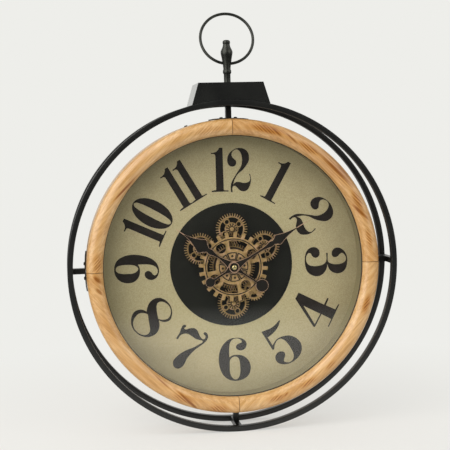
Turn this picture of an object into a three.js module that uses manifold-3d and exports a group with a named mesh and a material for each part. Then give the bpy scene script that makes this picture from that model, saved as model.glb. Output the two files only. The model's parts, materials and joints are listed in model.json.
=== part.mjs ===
// Fob-watch wall clock: two steel hoops carry a round wooden case with a turning gear train behind glass.
// Millimetres, +Z up, front towards -Y, wall at Y = 0, origin at the hanger plate on the wall plane.
import * as THREE from 'three';
import { mergeVertices } from 'three/addons/utils/BufferGeometryUtils.js';
import Module from 'manifold-3d';

// Clearances
const SEAT = 0.1; // between flat faces that rest on each other
const FIT = 0.3; // between a piece and the hole or rebate that holds it
const RUN_GAP = 0.4; // between faces that turn past each other

// Wooden case ring
const RIM_RADIUS = 267; // outside
const RIM_WIDTH = 30; // seen from the front
const RIM_CROWN = 12; // height of the rounded front
const REBATE = 7; // radial depth of the rebate behind the lip
const LIP_THICK = 2.7; // straight part of the lip in front of the glass
const SEAM_GAP = 0.3; // joint between two quarters
const CASE_OFFSET = 30; // wall to the back of the case

// Case contents, back to front
const PANEL_THICK = 6;
const DIAL_THICK = 2;
const PLATE_THICK = 1.5;
const CENTRE_RADIUS = 114; // black plate in the middle of the dial
const GLASS_THICK = 3;
const WORKS_DROP = 2; // arbor of the hands below the middle of the dial
const GLASS_CLEAR = 2.2; // hand nut to glass
const GASKET_THICK = 2;
const GASKET_SHOW = 0.6; // width of the gasket that stands inside the lip
const LINER_SETBACK = 1; // the liner's bore outside the lip's bore

// Hoops and struts
const HOOP_GAP = 23; // case ring to the inside of the hoops
const HOOP_BAR = 10; // bar width, radial
const HOOP_DEEP = 12; // bar depth, front to back
const FRAME_DEPTH = 90; // wall to the front of the front hoop
const SPACER_WIDTH = 10;
const POST_WIDTH = 10;
const BRACKET_DEEP = 12;
const STRAP_THICK = 2;
const STRAP_HALF_LENGTH = 36;
const SCREW_HEAD_RADIUS = 3.2;
const SCREW_HEAD_THICK = 2;
const SCREW_RADIUS = 1.6;
const SCREW_BITE = 8; // depth of the screw in the wood

// Crown block and its hanger plate
const CROWN_RISE = 31; // top of the block above the hoops
const CROWN_TOP_HALF = 58.5;
const CROWN_FOOT_HALF = 70.5;
const CROWN_WALL = 2.5;
const CROWN_INSET = 1; // block's front face behind the hoop's front face
const HANGER_THICK = 2;
const KEYHOLE_SPAN = 60;
const KEYHOLE_HEAD_RADIUS = 5;
const KEYHOLE_SLOT_RADIUS = 2.4;
const KEYHOLE_RISE = 9;

// Finial and hanging ring
const FINIAL_STEM_RADIUS = 6.1;
const FINIAL_COLLAR_RADIUS = 7.7;
const FINIAL_BODY_RADIUS = 6.7;
const FINIAL_BULB_RADIUS = 11.1;
const FINIAL_NECK_RADIUS = 6.4;
const FINIAL_CAP_RADIUS = 6.9;
const FINIAL_COLLAR_HEIGHT = 18.5;
const FINIAL_COLLAR_THICK = 5.5;
const FINIAL_HOLE_HEIGHT = 35.8;
const FINIAL_BULB_HEIGHT = 55.8;
const FINIAL_NECK_HEIGHT = 67.5;
const FINIAL_CAP_THICK = 11;
const FINIAL_STEP = 1; // height of the slopes beside the collar
const FINIAL_BULB_BAND = 2; // straight band round the bulb
const STUD_RADIUS = 3;
const STUD_LENGTH = 9;
const NUT_THICK = 5;
const NUT_RADIUS = 6.5;
const RING_RADIUS = 48.4; // to the middle of the wire
const RING_WIRE_RADIUS = 2.4;
const RING_HOLE_RADIUS = 4;
const RING_LEAN = 17; // degrees back from upright
const RING_SLIP = 3.5; // degrees sideways, slid round in its hole

// Gear train
const GEAR_MODULE = 1.5;
const CENTRE_TEETH = 54;
const SMALL_TEETH = 37;
const PINION_TEETH = 26;
const GEAR_THICK = 4;
const TOOTH_ROOT = 1.2; // depth below the pitch circle, in modules
const TOOTH_TIP = 0.9; // height above the pitch circle, in modules
const TOOTH_ROOT_HALF = 0.31; // half width at the root, as a share of the pitch
const TOOTH_TIP_HALF = 0.12; // half width at the tip, as a share of the pitch
const LAYER_GAP = 1; // pinion layer to small gear layer
const SMALL_GEAR_ANGLES = { top: 90, right: 30, bottom: 270, left: 150 };
const SMALL_WINDOW_TURNS = { top: 33, right: 24, bottom: 26, left: 43 };
const PINION_ANGLE = -49;
const PINION_WINDOW_INNER = 0.5; // as a share of the root radius
const PINION_WINDOW_OUTER = 0.82; // as a share of the root radius
const PINION_WINDOW_HALF_SPAN = 26; // degrees
const SMALL_RIM_WIDTH = 3.6; // root circle to the windows
const ROSETTE_RADIUS = 11.5;
const ROSETTE_RISE = 2.5;
const ROSETTE_SHELF = 1; // rosette to the windows
const KNOB_RADIUS = 3.9;
const KNOB_RISE = 2;
const BOSS_HOLE_RADIUS = 3.4;
const BOSS_CIRCLE = 17;
const BOSS_RADIUS = 6.4;
const ARBOR_RADIUS = 2;
const ARBOR_FOOT_RADIUS = 4;
const ARBOR_SHANK_RADIUS = 1.6;

// Main cog wheel
const WHEEL_TEETH = 24;
const WHEEL_TIP_RADIUS = 63.5;
const WHEEL_ROOT_RADIUS = 54.5;
const WHEEL_TOOTH_WIDTH = 6.4;
const WHEEL_THICK = 4;
const WHEEL_TURN = -4.5; // degrees, first tooth from 3 o'clock
const WHEEL_GAP = 2.5; // small gear knobs to the wheel
const WHEEL_WINDOW_INNER = 32.5;
const WHEEL_WINDOW_OUTER = 48.5;
const WHEEL_WINDOW_HALF_SPAN = 22; // degrees
const WHEEL_WINDOW_TURN = 77.5; // degrees
const WHEEL_HOLE_RADIUS = 9;
const WHEEL_HOLE_CIRCLE = 41;
const WHEEL_HUB_RADIUS = 9.5;

// Arbor stack in the middle
const BUSH_RADIUS = 4.2;
const BUSH_WALL = 1.2;
const SLEEVE_WALL = 1.9;
const SLEEVE_FLANGE_RADIUS = 10;
const SLEEVE_FLANGE_THICK = 4;
const CLIP_THICK = 1;
const HOUR_TUBE_WALL = 0.7;
const MINUTE_SHAFT_RADIUS = 1.5;

// Hands: distances run along the hand from its arbor
const HAND_THICK = 1.5;
const HAND_GAP = 2; // between moving layers
const HOUR_HAND = {
  length: 128, needleAt: 108, needleHalf: 0.8, shoulderAt: 72, shoulderHalf: 13.8, neckAt: 57,
  neckHalf: 4.2, beadHalf: 5.6, stemHalf: 1.8, hubRadius: 11, tailReach: 62.5, tailRadius: 11.8,
};
const MINUTE_HAND = {
  length: 161.5, needleAt: 136, needleHalf: 0.8, shoulderAt: 96, shoulderHalf: 9.8, neckAt: 85,
  neckHalf: 4.2, beadHalf: 5.5, stemHalf: 2.1, hubRadius: 10.5, tailReach: 51.2, tailRadius: 9,
};
const HOUR_ANGLE = 145; // degrees from 3 o'clock, ten past ten
const MINUTE_ANGLE = 30;
const HAND_NUT_RADIUS = 4.6;
const HAND_NUT_THICK = 4;
const HAND_NUT_CHAMFER = 1;
const SHOULDER_BULGE = 1.1; // as a share of the shoulder's half width
const SHOULDER_HEEL = 0.7; // as a share of the shoulder's half width
const HUB_FLARE = 1.6; // as a share of the hub radius
const HUB_FLARE_RISE = 2.4; // as a share of the stem's half width
const HUB_FLARE_FRONT = 3; // as a share of the hub radius
const HUB_FLARE_TAIL = 2; // as a share of the hub radius

// Works on the back
const MOVEMENT_SIDE = 56;
const MOVEMENT_DEEP = 17;
const CELL_RADIUS = 7.1;
const CELL_LENGTH = 50;
const MOVEMENT_WALL = 2;
const SET_KNOB_RADIUS = 7;
const SET_KNOB_THICK = 4;
const SET_KNOB_OFFSET = 14;
const SET_KNOB_STEM = 2;
const MOTOR_SIDE = 36;
const MOTOR_DEEP = 20;
const MOTOR_SHIFT = 7; // case centre outside the off-centre shaft
const MOTOR_SHAFT_RADIUS = 1.6;
const SHAFT_BITE = 6; // shaft depth inside its case
const BATTERY_WALL = 2;
const BATTERY_COVER_THICK = 1.6;
const WORKS_GAP = 20; // motor to battery box

// Facet counts
const LARGE_ROUND = 64;
const MID_ROUND = 16;
const SMALL_ROUND = 8;
const RING_ROUND = 40;
const HEX = 6;
const CURVE_STEPS = 4; // per curved stretch of an outline
const WELD = 1e-4; // points closer than this are one

// Depths from the wall, back to front
const panelFront = CASE_OFFSET + PANEL_THICK;
const dialFront = panelFront + SEAT + DIAL_THICK;
const plateFront = panelFront + SEAT + PLATE_THICK;
const flangeFront = plateFront + SEAT + SLEEVE_FLANGE_THICK;
const pinionRear = flangeFront + RUN_GAP;
const pinionFront = pinionRear + GEAR_THICK;
const gearRear = pinionFront + LAYER_GAP;
const gearFront = gearRear + GEAR_THICK;
const rosetteFront = gearFront + ROSETTE_RISE;
const knobFront = rosetteFront + KNOB_RISE;
const wheelRear = knobFront + WHEEL_GAP;
const wheelFront = wheelRear + WHEEL_THICK;
const clipRear = wheelFront + RUN_GAP;
const clipFront = clipRear + CLIP_THICK;
const hourRear = clipFront + HAND_GAP;
const hourFront = hourRear + HAND_THICK;
const minuteRear = hourFront + HAND_GAP;
const minuteFront = minuteRear + HAND_THICK;
const handNutRear = minuteFront + SEAT;
const handNutFront = handNutRear + HAND_NUT_THICK;
const glassRear = handNutFront + GLASS_CLEAR;
const glassFront = glassRear + GLASS_THICK;
const lipRear = glassFront + SEAT;
const rimShoulder = lipRear + LIP_THICK;
const frameMid = FRAME_DEPTH / 2;

// Radii and places worked out from the sizes above
const rimInner = RIM_RADIUS - RIM_WIDTH;
const rebateRadius = rimInner + REBATE;
const fillRadius = rebateRadius - FIT;
const hoopInner = RIM_RADIUS + HOOP_GAP;
const hoopOuter = hoopInner + HOOP_BAR;
const crownFoot = hoopOuter + FIT;
const crownTop = hoopOuter + CROWN_RISE;
const hangerHeight = (crownFoot + crownTop) / 2;
const rimFacet = (2 * Math.PI) / LARGE_ROUND;
const centrePitch = (GEAR_MODULE * CENTRE_TEETH) / 2;
const smallPitch = (GEAR_MODULE * SMALL_TEETH) / 2;
const pinionPitch = (GEAR_MODULE * PINION_TEETH) / 2;
const smallDistance = centrePitch + smallPitch;
const pinionDistance = centrePitch + pinionPitch;
const pinionSpot = polar(pinionDistance, PINION_ANGLE);
const motorSpot = polar(pinionDistance + MOTOR_SHIFT, PINION_ANGLE);
const hourTubeRadius = BUSH_RADIUS - BUSH_WALL - FIT;
const sleeveBore = BUSH_RADIUS + FIT;
const sleeveRadius = sleeveBore + SLEEVE_WALL;
const wheelBore = sleeveRadius + RUN_GAP;

const wasm = await Module();
wasm.setup();

// Materials
function paint(color, roughness, metalness = 0) {
  return new THREE.MeshStandardMaterial({ color, roughness, metalness });
}

const BLACK_STEEL = paint(0x1d1e1c, 0.45, 0.3);
const GUNMETAL = paint(0x30312f, 0.35, 0.8);
const PINE = paint(0xe0b077, 0.55);
const BEIGE = paint(0xb3a57f, 0.8);
const DISC_BLACK = paint(0x2b2c29, 0.6);
const CLEAR_GLASS = paint(0xdfe8e4, 0.05);
CLEAR_GLASS.transparent = true;
CLEAR_GLASS.opacity = 0.25;
const RUBBER = paint(0x1a1917, 0.7);
const FIBREBOARD = paint(0x8a6a48, 0.85);
const BRONZE = paint(0xa98a5a, 0.45, 0.5);
const HAND_BLACK = paint(0x241f1b, 0.5, 0.3);
const BRASS = paint(0xc9bb86, 0.3, 1);
const STEEL = paint(0x9a9a98, 0.35, 1);
const BLACK_PLASTIC = paint(0x202020, 0.5);
const CELL_STEEL = paint(0x8d8f92, 0.3, 0.9);

// Geometry helpers
function polar(radius, degrees) {
  const angle = THREE.MathUtils.degToRad(degrees);
  return new THREE.Vector2(radius * Math.cos(angle), radius * Math.sin(angle));
}

function circle(radius, count, x = 0, z = 0) {
  const at = (k) => new THREE.Vector2(x, z).add(polar(radius, (360 * k) / count));
  return Array.from({ length: count }, (_, k) => at(k));
}

// Flat piece: an outline seen from the front, between two distances from the wall.
function plate(outline, holes, rear, front) {
  const shape = new THREE.Shape(outline);
  shape.holes = holes.map((points) => new THREE.Path(points));
  const geometry = new THREE.ExtrudeGeometry(shape, { depth: front - rear, bevelEnabled: false });
  return geometry.rotateX(Math.PI / 2).translate(0, -rear, 0);
}

// Turned piece about the dial axis: [radius, distance from the wall] points around a closed section.
function turned(section, count) {
  const points = section.map(([radius, depth]) => new THREE.Vector2(radius, -depth));
  if (THREE.ShapeUtils.area(points) < 0) {
    points.reverse();
  }
  const closed = points[0].x > 0 || points[points.length - 1].x > 0;
  return new THREE.LatheGeometry(closed ? [...points, points[0]] : points, count);
}

const washer = (inner, outer, rear, front, count) =>
  turned([[inner, rear], [inner, front], [outer, front], [outer, rear]], count);

const disc = (radius, rear, front, count) =>
  turned([[0, rear], [radius, rear], [radius, front], [0, front]], count);

function block(width, height, rear, front, x = 0, z = 0) {
  return new THREE.BoxGeometry(width, front - rear, height).translate(x, -(front + rear) / 2, z);
}

// Round bar along Y, centred on the origin.
function rod(radius, length, count = SMALL_ROUND) {
  return new THREE.CylinderGeometry(radius, radius, length, count);
}

// Round pin or drill along the radius at 12 o'clock.
function radialPin(radius, from, to, depth) {
  return rod(radius, to - from).rotateX(Math.PI / 2).translate(0, -depth, (from + to) / 2);
}

function solid(geometry) {
  const bare = geometry.clone();
  bare.deleteAttribute('normal');
  bare.deleteAttribute('uv');
  const merged = mergeVertices(bare, WELD);
  const index = merged.index.array;
  const kept = [];
  for (let k = 0; k < index.length; k += 3) {
    const [a, b, c] = [index[k], index[k + 1], index[k + 2]];
    if (a !== b && b !== c && c !== a) {
      kept.push(a, b, c);
    }
  }
  const vertProperties = merged.attributes.position.array;
  return new wasm.Manifold(new wasm.Mesh({ numProp: 3, vertProperties, triVerts: Uint32Array.from(kept) }));
}

function surface(body) {
  const mesh = body.getMesh();
  const geometry = new THREE.BufferGeometry();
  geometry.setAttribute('position', new THREE.BufferAttribute(mesh.vertProperties, 3));
  geometry.setIndex(new THREE.BufferAttribute(mesh.triVerts, 1));
  geometry.computeVertexNormals();
  return geometry;
}

function join(...geometries) {
  return surface(geometries.map(solid).reduce((body, next) => body.add(next)));
}

function cut(geometry, ...tools) {
  return surface(tools.map(solid).reduce((body, tool) => body.subtract(tool), solid(geometry)));
}

const clock = new THREE.Group();
const works = new THREE.Group();
works.position.z = -WORKS_DROP;
clock.add(works);

function place(name, geometry, material, parent = clock) {
  const mesh = new THREE.Mesh(geometry, material);
  mesh.name = name;
  parent.add(mesh);
  return mesh;
}

// One copy at each of the four struts, turned clockwise from 12 o'clock.
const STRUTS = ['top', 'right', 'bottom', 'left'];
function fourTimes(name, geometry, material) {
  STRUTS.forEach((side, k) => {
    place(`${name}_${side}`, geometry.clone(), material).rotation.y = (k * Math.PI) / 2;
  });
}

// Hoops and the bars that hold them apart
function makeHoops() {
  const hoop = (rear) => washer(hoopInner, hoopOuter, rear, rear + HOOP_DEEP, LARGE_ROUND);
  place('rear_hoop', hoop(0), BLACK_STEEL);
  place('front_hoop', hoop(FRAME_DEPTH - HOOP_DEEP), BLACK_STEEL);
  const barMid = (hoopInner + hoopOuter) / 2;
  const bar = block(SPACER_WIDTH, HOOP_BAR, HOOP_DEEP + SEAT, FRAME_DEPTH - HOOP_DEEP - SEAT, 0, barMid);
  fourTimes('spacer_bar', bar, BLACK_STEEL);
}

// Point on the flat facets of the case ring, pushed out by a distance
function onRimFacet(angle, outward) {
  const facetMid = (Math.floor(Math.abs(angle) / rimFacet) + 0.5) * rimFacet;
  const apothem = RIM_RADIUS * Math.cos(rimFacet / 2) + outward;
  const radius = apothem / Math.cos(Math.abs(angle) - facetMid);
  return new THREE.Vector2(radius * Math.sin(angle), radius * Math.cos(angle));
}

const screwAngle = rimFacet / 2;
const strapOuter = RIM_RADIUS * Math.cos(rimFacet / 2) + SEAT + STRAP_THICK;

// Strap along the case ring with a post that reaches the spacer bar
function makeBrackets() {
  const strapEnd = Math.max(STRAP_HALF_LENGTH / RIM_RADIUS, rimFacet + FIT / RIM_RADIUS);
  const angles = [-strapEnd, -rimFacet, 0, rimFacet, strapEnd];
  const inner = angles.map((angle) => onRimFacet(angle, SEAT));
  const outer = angles.map((angle) => onRimFacet(angle, SEAT + STRAP_THICK)).reverse();
  const half = POST_WIDTH / 2;
  const foot = strapOuter / Math.cos(screwAngle) - half * Math.tan(screwAngle);
  const tip = hoopInner - SEAT;
  const corners = [[half, foot], [half, tip], [-half, tip], [-half, foot]];
  const post = corners.map(([x, z]) => new THREE.Vector2(x, z));
  const outline = [...inner, outer[0], outer[1], ...post, outer[3], outer[4]];
  const rear = frameMid - BRACKET_DEEP / 2;
  const drill = radialPin(SCREW_RADIUS + FIT, RIM_RADIUS - SCREW_BITE, hoopInner, frameMid);
  const drills = [-screwAngle, screwAngle].map((angle) => drill.clone().rotateY(angle));
  fourTimes('rim_bracket', cut(plate(outline, [], rear, rear + BRACKET_DEEP), ...drills), BLACK_STEEL);
}

function makeBracketScrews() {
  const seat = strapOuter + SEAT;
  const shank = radialPin(SCREW_RADIUS, RIM_RADIUS - SCREW_BITE, seat + SCREW_HEAD_THICK / 2, frameMid);
  const head = radialPin(SCREW_HEAD_RADIUS, seat, seat + SCREW_HEAD_THICK, frameMid);
  const screw = join(shank, head);
  fourTimes('bracket_screw_a', screw.clone().rotateY(-screwAngle), STEEL);
  fourTimes('bracket_screw_b', screw.clone().rotateY(screwAngle), STEEL);
}

// Wooden case ring in four quarters with a rounded front and a rebate for the glass
function makeRim() {
  const crownMid = RIM_RADIUS - RIM_WIDTH / 2;
  const crownSteps = 6;
  const crown = Array.from({ length: crownSteps + 1 }, (_, k) => {
    const angle = (Math.PI * k) / crownSteps;
    return [crownMid + (RIM_WIDTH / 2) * Math.cos(angle), rimShoulder + RIM_CROWN * Math.sin(angle)];
  });
  const section = [
    [RIM_RADIUS, CASE_OFFSET], ...crown,
    [rimInner, lipRear], [rebateRadius, lipRear], [rebateRadius, CASE_OFFSET],
  ];
  const ring = solid(turned(section, LARGE_ROUND));
  const reach = hoopInner;
  const side = reach - SEAM_GAP / 2;
  const middle = (reach + SEAM_GAP / 2) / 2;
  const deep = rimShoulder + RIM_CROWN;
  const quarter = ring.intersect(solid(block(side, side, 0, deep + SEAM_GAP, middle, middle)));
  const drill = radialPin(SCREW_RADIUS + FIT, RIM_RADIUS - SCREW_BITE - FIT, RIM_RADIUS + FIT, frameMid);
  const drills = [screwAngle, Math.PI / 2 - screwAngle].map((angle) => drill.clone().rotateY(angle));
  const names = ['upper_right', 'lower_right', 'lower_left', 'upper_left'];
  const geometry = cut(surface(quarter), ...drills);
  names.forEach((name, k) => {
    place(`rim_quarter_${name}`, geometry.clone(), PINE).rotation.y = (k * Math.PI) / 2;
  });
}

// Back panel, dial, liner, gasket and glass that fill the rebate
function makeCaseFilling() {
  const bushHole = circle(BUSH_RADIUS + FIT, MID_ROUND, 0, -WORKS_DROP);
  const shaftRoom = MOTOR_SHAFT_RADIUS + 2 * FIT;
  const shaftHole = circle(shaftRoom, SMALL_ROUND, pinionSpot.x, pinionSpot.y - WORKS_DROP);
  const round = circle(fillRadius, LARGE_ROUND);
  place('back_panel', plate(round, [bushHole, shaftHole], CASE_OFFSET, panelFront), FIBREBOARD);
  place('dial', washer(CENTRE_RADIUS, fillRadius, panelFront + SEAT, dialFront, LARGE_ROUND), BEIGE);
  const rivetHoles = Object.values(SMALL_GEAR_ANGLES).map((angle) => {
    const spot = polar(smallDistance, angle);
    return circle(ARBOR_SHANK_RADIUS + FIT, SMALL_ROUND, spot.x, spot.y - WORKS_DROP);
  });
  const centre = circle(CENTRE_RADIUS - FIT, LARGE_ROUND);
  const holes = [bushHole, shaftHole, ...rivetHoles];
  place('centre_plate', plate(centre, holes, panelFront + SEAT, plateFront), DISC_BLACK);
  const gasketFront = glassRear - SEAT;
  const gasketRear = gasketFront - GASKET_THICK;
  const linerBore = rimInner + LINER_SETBACK;
  place('dial_liner', washer(linerBore, fillRadius, dialFront + SEAT, gasketRear - SEAT, LARGE_ROUND), BEIGE);
  const gasketBore = rimInner - GASKET_SHOW;
  place('glass_gasket', washer(gasketBore, fillRadius, gasketRear, gasketFront, LARGE_ROUND), RUBBER);
  place('glass', disc(fillRadius, glassRear, glassFront, LARGE_ROUND), CLEAR_GLASS);
}

// Outline of the crown block, drawn in by a distance all round
function crownOutline(inset) {
  const footHeight = Math.sqrt(crownFoot ** 2 - CROWN_FOOT_HALF ** 2);
  const slope = (CROWN_FOOT_HALF - CROWN_TOP_HALF) / (crownTop - footHeight);
  const start = CROWN_TOP_HALF + slope * crownTop - inset * Math.hypot(1, slope);
  const radius = crownFoot + inset;
  const b = slope * start;
  const a = 1 + slope ** 2;
  const footZ = (b + Math.sqrt(b ** 2 - a * (start ** 2 - radius ** 2))) / a;
  const footAngle = Math.asin((start - slope * footZ) / radius);
  const steps = 8;
  const arc = Array.from({ length: steps + 1 }, (_, k) => {
    const angle = footAngle * (1 - (2 * k) / steps);
    const edge = k === 0 || k === steps ? radius : radius / Math.cos(footAngle / steps);
    return new THREE.Vector2(edge * Math.sin(angle), edge * Math.cos(angle));
  });
  const topZ = crownTop - inset;
  const topX = start - slope * topZ;
  return [...arc, new THREE.Vector2(-topX, topZ), new THREE.Vector2(topX, topZ)];
}

// Hole for a wall screw: round entry with a slot above it
function keyhole(x) {
  const spread = Math.acos(KEYHOLE_SLOT_RADIUS / KEYHOLE_HEAD_RADIUS);
  const low = hangerHeight - KEYHOLE_RISE / 2;
  const steps = 10;
  const entry = Array.from({ length: steps + 1 }, (_, k) => {
    const angle = spread - ((Math.PI + 2 * spread) * k) / steps;
    const point = new THREE.Vector2(Math.cos(angle), Math.sin(angle)).multiplyScalar(KEYHOLE_HEAD_RADIUS);
    return point.add(new THREE.Vector2(x, low));
  });
  const end = [180, 120, 60, 0].map((angle) => {
    return polar(KEYHOLE_SLOT_RADIUS, angle).add(new THREE.Vector2(x, low + KEYHOLE_RISE));
  });
  return [...entry, ...end];
}

function makeCrown() {
  const front = FRAME_DEPTH - CROWN_INSET;
  const shell = plate(crownOutline(0), [], 0, front);
  const hollow = plate(crownOutline(CROWN_WALL), [], -CROWN_WALL, front - CROWN_WALL);
  const studHole = rod(STUD_RADIUS + FIT, CROWN_RISE).rotateX(Math.PI / 2);
  studHole.translate(0, -frameMid, crownTop);
  place('crown_block', cut(shell, hollow, studHole), BLACK_STEEL);
  const punch = (x) => plate(keyhole(x), [], -FIT, HANGER_THICK + FIT);
  const holes = [-KEYHOLE_SPAN / 2, KEYHOLE_SPAN / 2].map(punch);
  place('hanger_plate', cut(plate(crownOutline(CROWN_WALL + FIT), [], 0, HANGER_THICK), ...holes), STEEL);
}

// Turned post that stands on the crown block, with a cross hole for the ring
function makeFinial() {
  const collarTop = FINIAL_COLLAR_HEIGHT + FINIAL_COLLAR_THICK;
  const capTop = FINIAL_NECK_HEIGHT + FINIAL_CAP_THICK;
  const profile = [
    [0, -STUD_LENGTH - CROWN_WALL], [STUD_RADIUS, -STUD_LENGTH - CROWN_WALL], [STUD_RADIUS, SEAT],
    [FINIAL_STEM_RADIUS, SEAT], [FINIAL_STEM_RADIUS, FINIAL_COLLAR_HEIGHT - FINIAL_STEP],
    [FINIAL_COLLAR_RADIUS, FINIAL_COLLAR_HEIGHT], [FINIAL_COLLAR_RADIUS, collarTop],
    [FINIAL_BODY_RADIUS, collarTop + FINIAL_STEP], [FINIAL_BODY_RADIUS, FINIAL_HOLE_HEIGHT],
    [(FINIAL_BODY_RADIUS + FINIAL_BULB_RADIUS * 2) / 3, (FINIAL_HOLE_HEIGHT + FINIAL_BULB_HEIGHT) / 2],
    [FINIAL_BULB_RADIUS, FINIAL_BULB_HEIGHT - FINIAL_BULB_BAND / 2],
    [FINIAL_BULB_RADIUS, FINIAL_BULB_HEIGHT + FINIAL_BULB_BAND / 2],
    [FINIAL_NECK_RADIUS, FINIAL_NECK_HEIGHT],
    [FINIAL_CAP_RADIUS, FINIAL_NECK_HEIGHT + FINIAL_CAP_THICK / 3],
    [FINIAL_CAP_RADIUS, FINIAL_NECK_HEIGHT + (FINIAL_CAP_THICK * 2) / 3],
    [FINIAL_CAP_RADIUS / 2, capTop - FINIAL_STEP / 2], [0, capTop],
  ].map(([radius, height]) => new THREE.Vector2(radius, height));
  const post = new THREE.LatheGeometry(profile, MID_ROUND).rotateX(Math.PI / 2);
  const drill = rod(RING_HOLE_RADIUS, 4 * FINIAL_BODY_RADIUS).rotateZ(Math.PI / 2);
  drill.translate(0, 0, FINIAL_HOLE_HEIGHT);
  const stand = new THREE.Group();
  stand.position.set(0, -frameMid, crownTop);
  clock.add(stand);
  place('finial', cut(post, drill), GUNMETAL, stand);

  const nut = cut(rod(NUT_RADIUS, NUT_THICK, HEX), rod(STUD_RADIUS + FIT, 2 * NUT_THICK));
  place('finial_nut', nut.rotateX(Math.PI / 2), STEEL, stand).position.z = -CROWN_WALL - SEAT - NUT_THICK / 2;

  const ring = new THREE.TorusGeometry(RING_RADIUS, RING_WIRE_RADIUS, SMALL_ROUND, RING_ROUND);
  ring.rotateX(Math.PI / 2).translate(0, 0, RING_RADIUS);
  const loop = place('hanging_ring', ring, GUNMETAL, stand);
  loop.position.z = FINIAL_HOLE_HEIGHT;
  loop.rotation.set(-THREE.MathUtils.degToRad(RING_LEAN), THREE.MathUtils.degToRad(RING_SLIP), 0);
}

// Gear outline with straight-sided teeth and room for backlash; the first tooth stands at the given angle
function gearOutline(teeth, firstTooth) {
  const pitch = (GEAR_MODULE * teeth) / 2;
  const root = pitch - TOOTH_ROOT * GEAR_MODULE;
  const tip = pitch + TOOTH_TIP * GEAR_MODULE;
  const step = 360 / teeth;
  return Array.from({ length: teeth }, (_, k) => {
    const middle = firstTooth + k * step;
    return [
      polar(root, middle - TOOTH_ROOT_HALF * step), polar(tip, middle - TOOTH_TIP_HALF * step),
      polar(tip, middle + TOOTH_TIP_HALF * step), polar(root, middle + TOOTH_ROOT_HALF * step),
    ];
  }).flat();
}

const gearRoot = (teeth) => (GEAR_MODULE * teeth) / 2 - TOOTH_ROOT * GEAR_MODULE;

// Angle of a tooth that lets a gear mesh with the centre gear, seen from the gear's own arbor
function meshAngle(teeth, direction) {
  const phase = ((CENTRE_TEETH * direction) / 360) % 1;
  return direction + 180 - (360 / teeth) * (0.5 - phase);
}

// Window between two spokes, from an inner to an outer radius
function arcWindow(inner, outer, middle, halfSpan) {
  const step = (2 * halfSpan) / CURVE_STEPS;
  const angles = Array.from({ length: CURVE_STEPS + 1 }, (_, k) => middle - halfSpan + k * step);
  const back = [...angles].reverse();
  return [...angles.map((angle) => polar(outer, angle)), ...back.map((angle) => polar(inner, angle))];
}

const quarters = [0, 90, 180, 270];

// Small gear: toothed ring, four bosses with holes, a raised rosette and a knob; its arbor is a riveted post
function makeSmallGears() {
  const windowOuter = gearRoot(SMALL_TEETH) - SMALL_RIM_WIDTH;
  const windowInner = ROSETTE_RADIUS + ROSETTE_SHELF;
  const bossHalf = THREE.MathUtils.radToDeg(Math.asin(BOSS_RADIUS / BOSS_CIRCLE));
  const half = 45 - bossHalf;
  const bore = disc(ARBOR_RADIUS + RUN_GAP, gearRear - FIT, rosetteFront, SMALL_ROUND);
  const gearMid = (gearRear + gearFront) / 2;
  const rosette = turned([
    [0, gearMid], [ROSETTE_RADIUS, gearMid], [ROSETTE_RADIUS, rosetteFront],
    [KNOB_RADIUS, rosetteFront], [KNOB_RADIUS, knobFront], [0, knobFront],
  ], MID_ROUND);
  const arbor = turned([
    [0, panelFront + SEAT], [ARBOR_SHANK_RADIUS, panelFront + SEAT], [ARBOR_SHANK_RADIUS, plateFront + SEAT],
    [ARBOR_FOOT_RADIUS, plateFront + SEAT], [ARBOR_FOOT_RADIUS, gearRear - RUN_GAP],
    [ARBOR_RADIUS, gearRear - RUN_GAP], [ARBOR_RADIUS, rosetteFront - RUN_GAP], [0, rosetteFront - RUN_GAP],
  ], SMALL_ROUND);
  for (const [side, angle] of Object.entries(SMALL_GEAR_ANGLES)) {
    const turn = SMALL_WINDOW_TURNS[side];
    const windows = quarters.map((k) => arcWindow(windowInner, windowOuter, turn + 45 + k, half));
    const bosses = quarters.map((k) => {
      const spot = polar(BOSS_CIRCLE, turn + k);
      return circle(BOSS_HOLE_RADIUS, SMALL_ROUND, spot.x, spot.y);
    });
    const outline = gearOutline(SMALL_TEETH, meshAngle(SMALL_TEETH, angle));
    const gear = cut(join(plate(outline, [...windows, ...bosses], gearRear, gearFront), rosette), bore);
    const spot = polar(smallDistance, angle);
    place(`small_gear_${side}`, gear, BRONZE, works).position.set(spot.x, 0, spot.y);
    place(`gear_arbor_${side}`, arbor.clone(), STEEL, works).position.set(spot.x, 0, spot.y);
  }
}

// Drive pinion on the motor shaft, meshed with the back half of the centre gear
function makePinion() {
  const root = gearRoot(PINION_TEETH);
  const inner = root * PINION_WINDOW_INNER;
  const outer = root * PINION_WINDOW_OUTER;
  const windows = quarters.map((k) => arcWindow(inner, outer, k, PINION_WINDOW_HALF_SPAN));
  const bore = circle(MOTOR_SHAFT_RADIUS + FIT, SMALL_ROUND);
  const outline = gearOutline(PINION_TEETH, meshAngle(PINION_TEETH, PINION_ANGLE));
  const pinion = plate(outline, [bore, ...windows], pinionRear, pinionFront);
  place('drive_pinion', pinion, BRONZE, works).position.set(pinionSpot.x, 0, pinionSpot.y);
  const shaft = disc(MOTOR_SHAFT_RADIUS, CASE_OFFSET - SHAFT_BITE, pinionFront + SEAT, SMALL_ROUND);
  place('motor_shaft', shaft, STEEL, works).position.set(pinionSpot.x, 0, pinionSpot.y);
}

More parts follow.
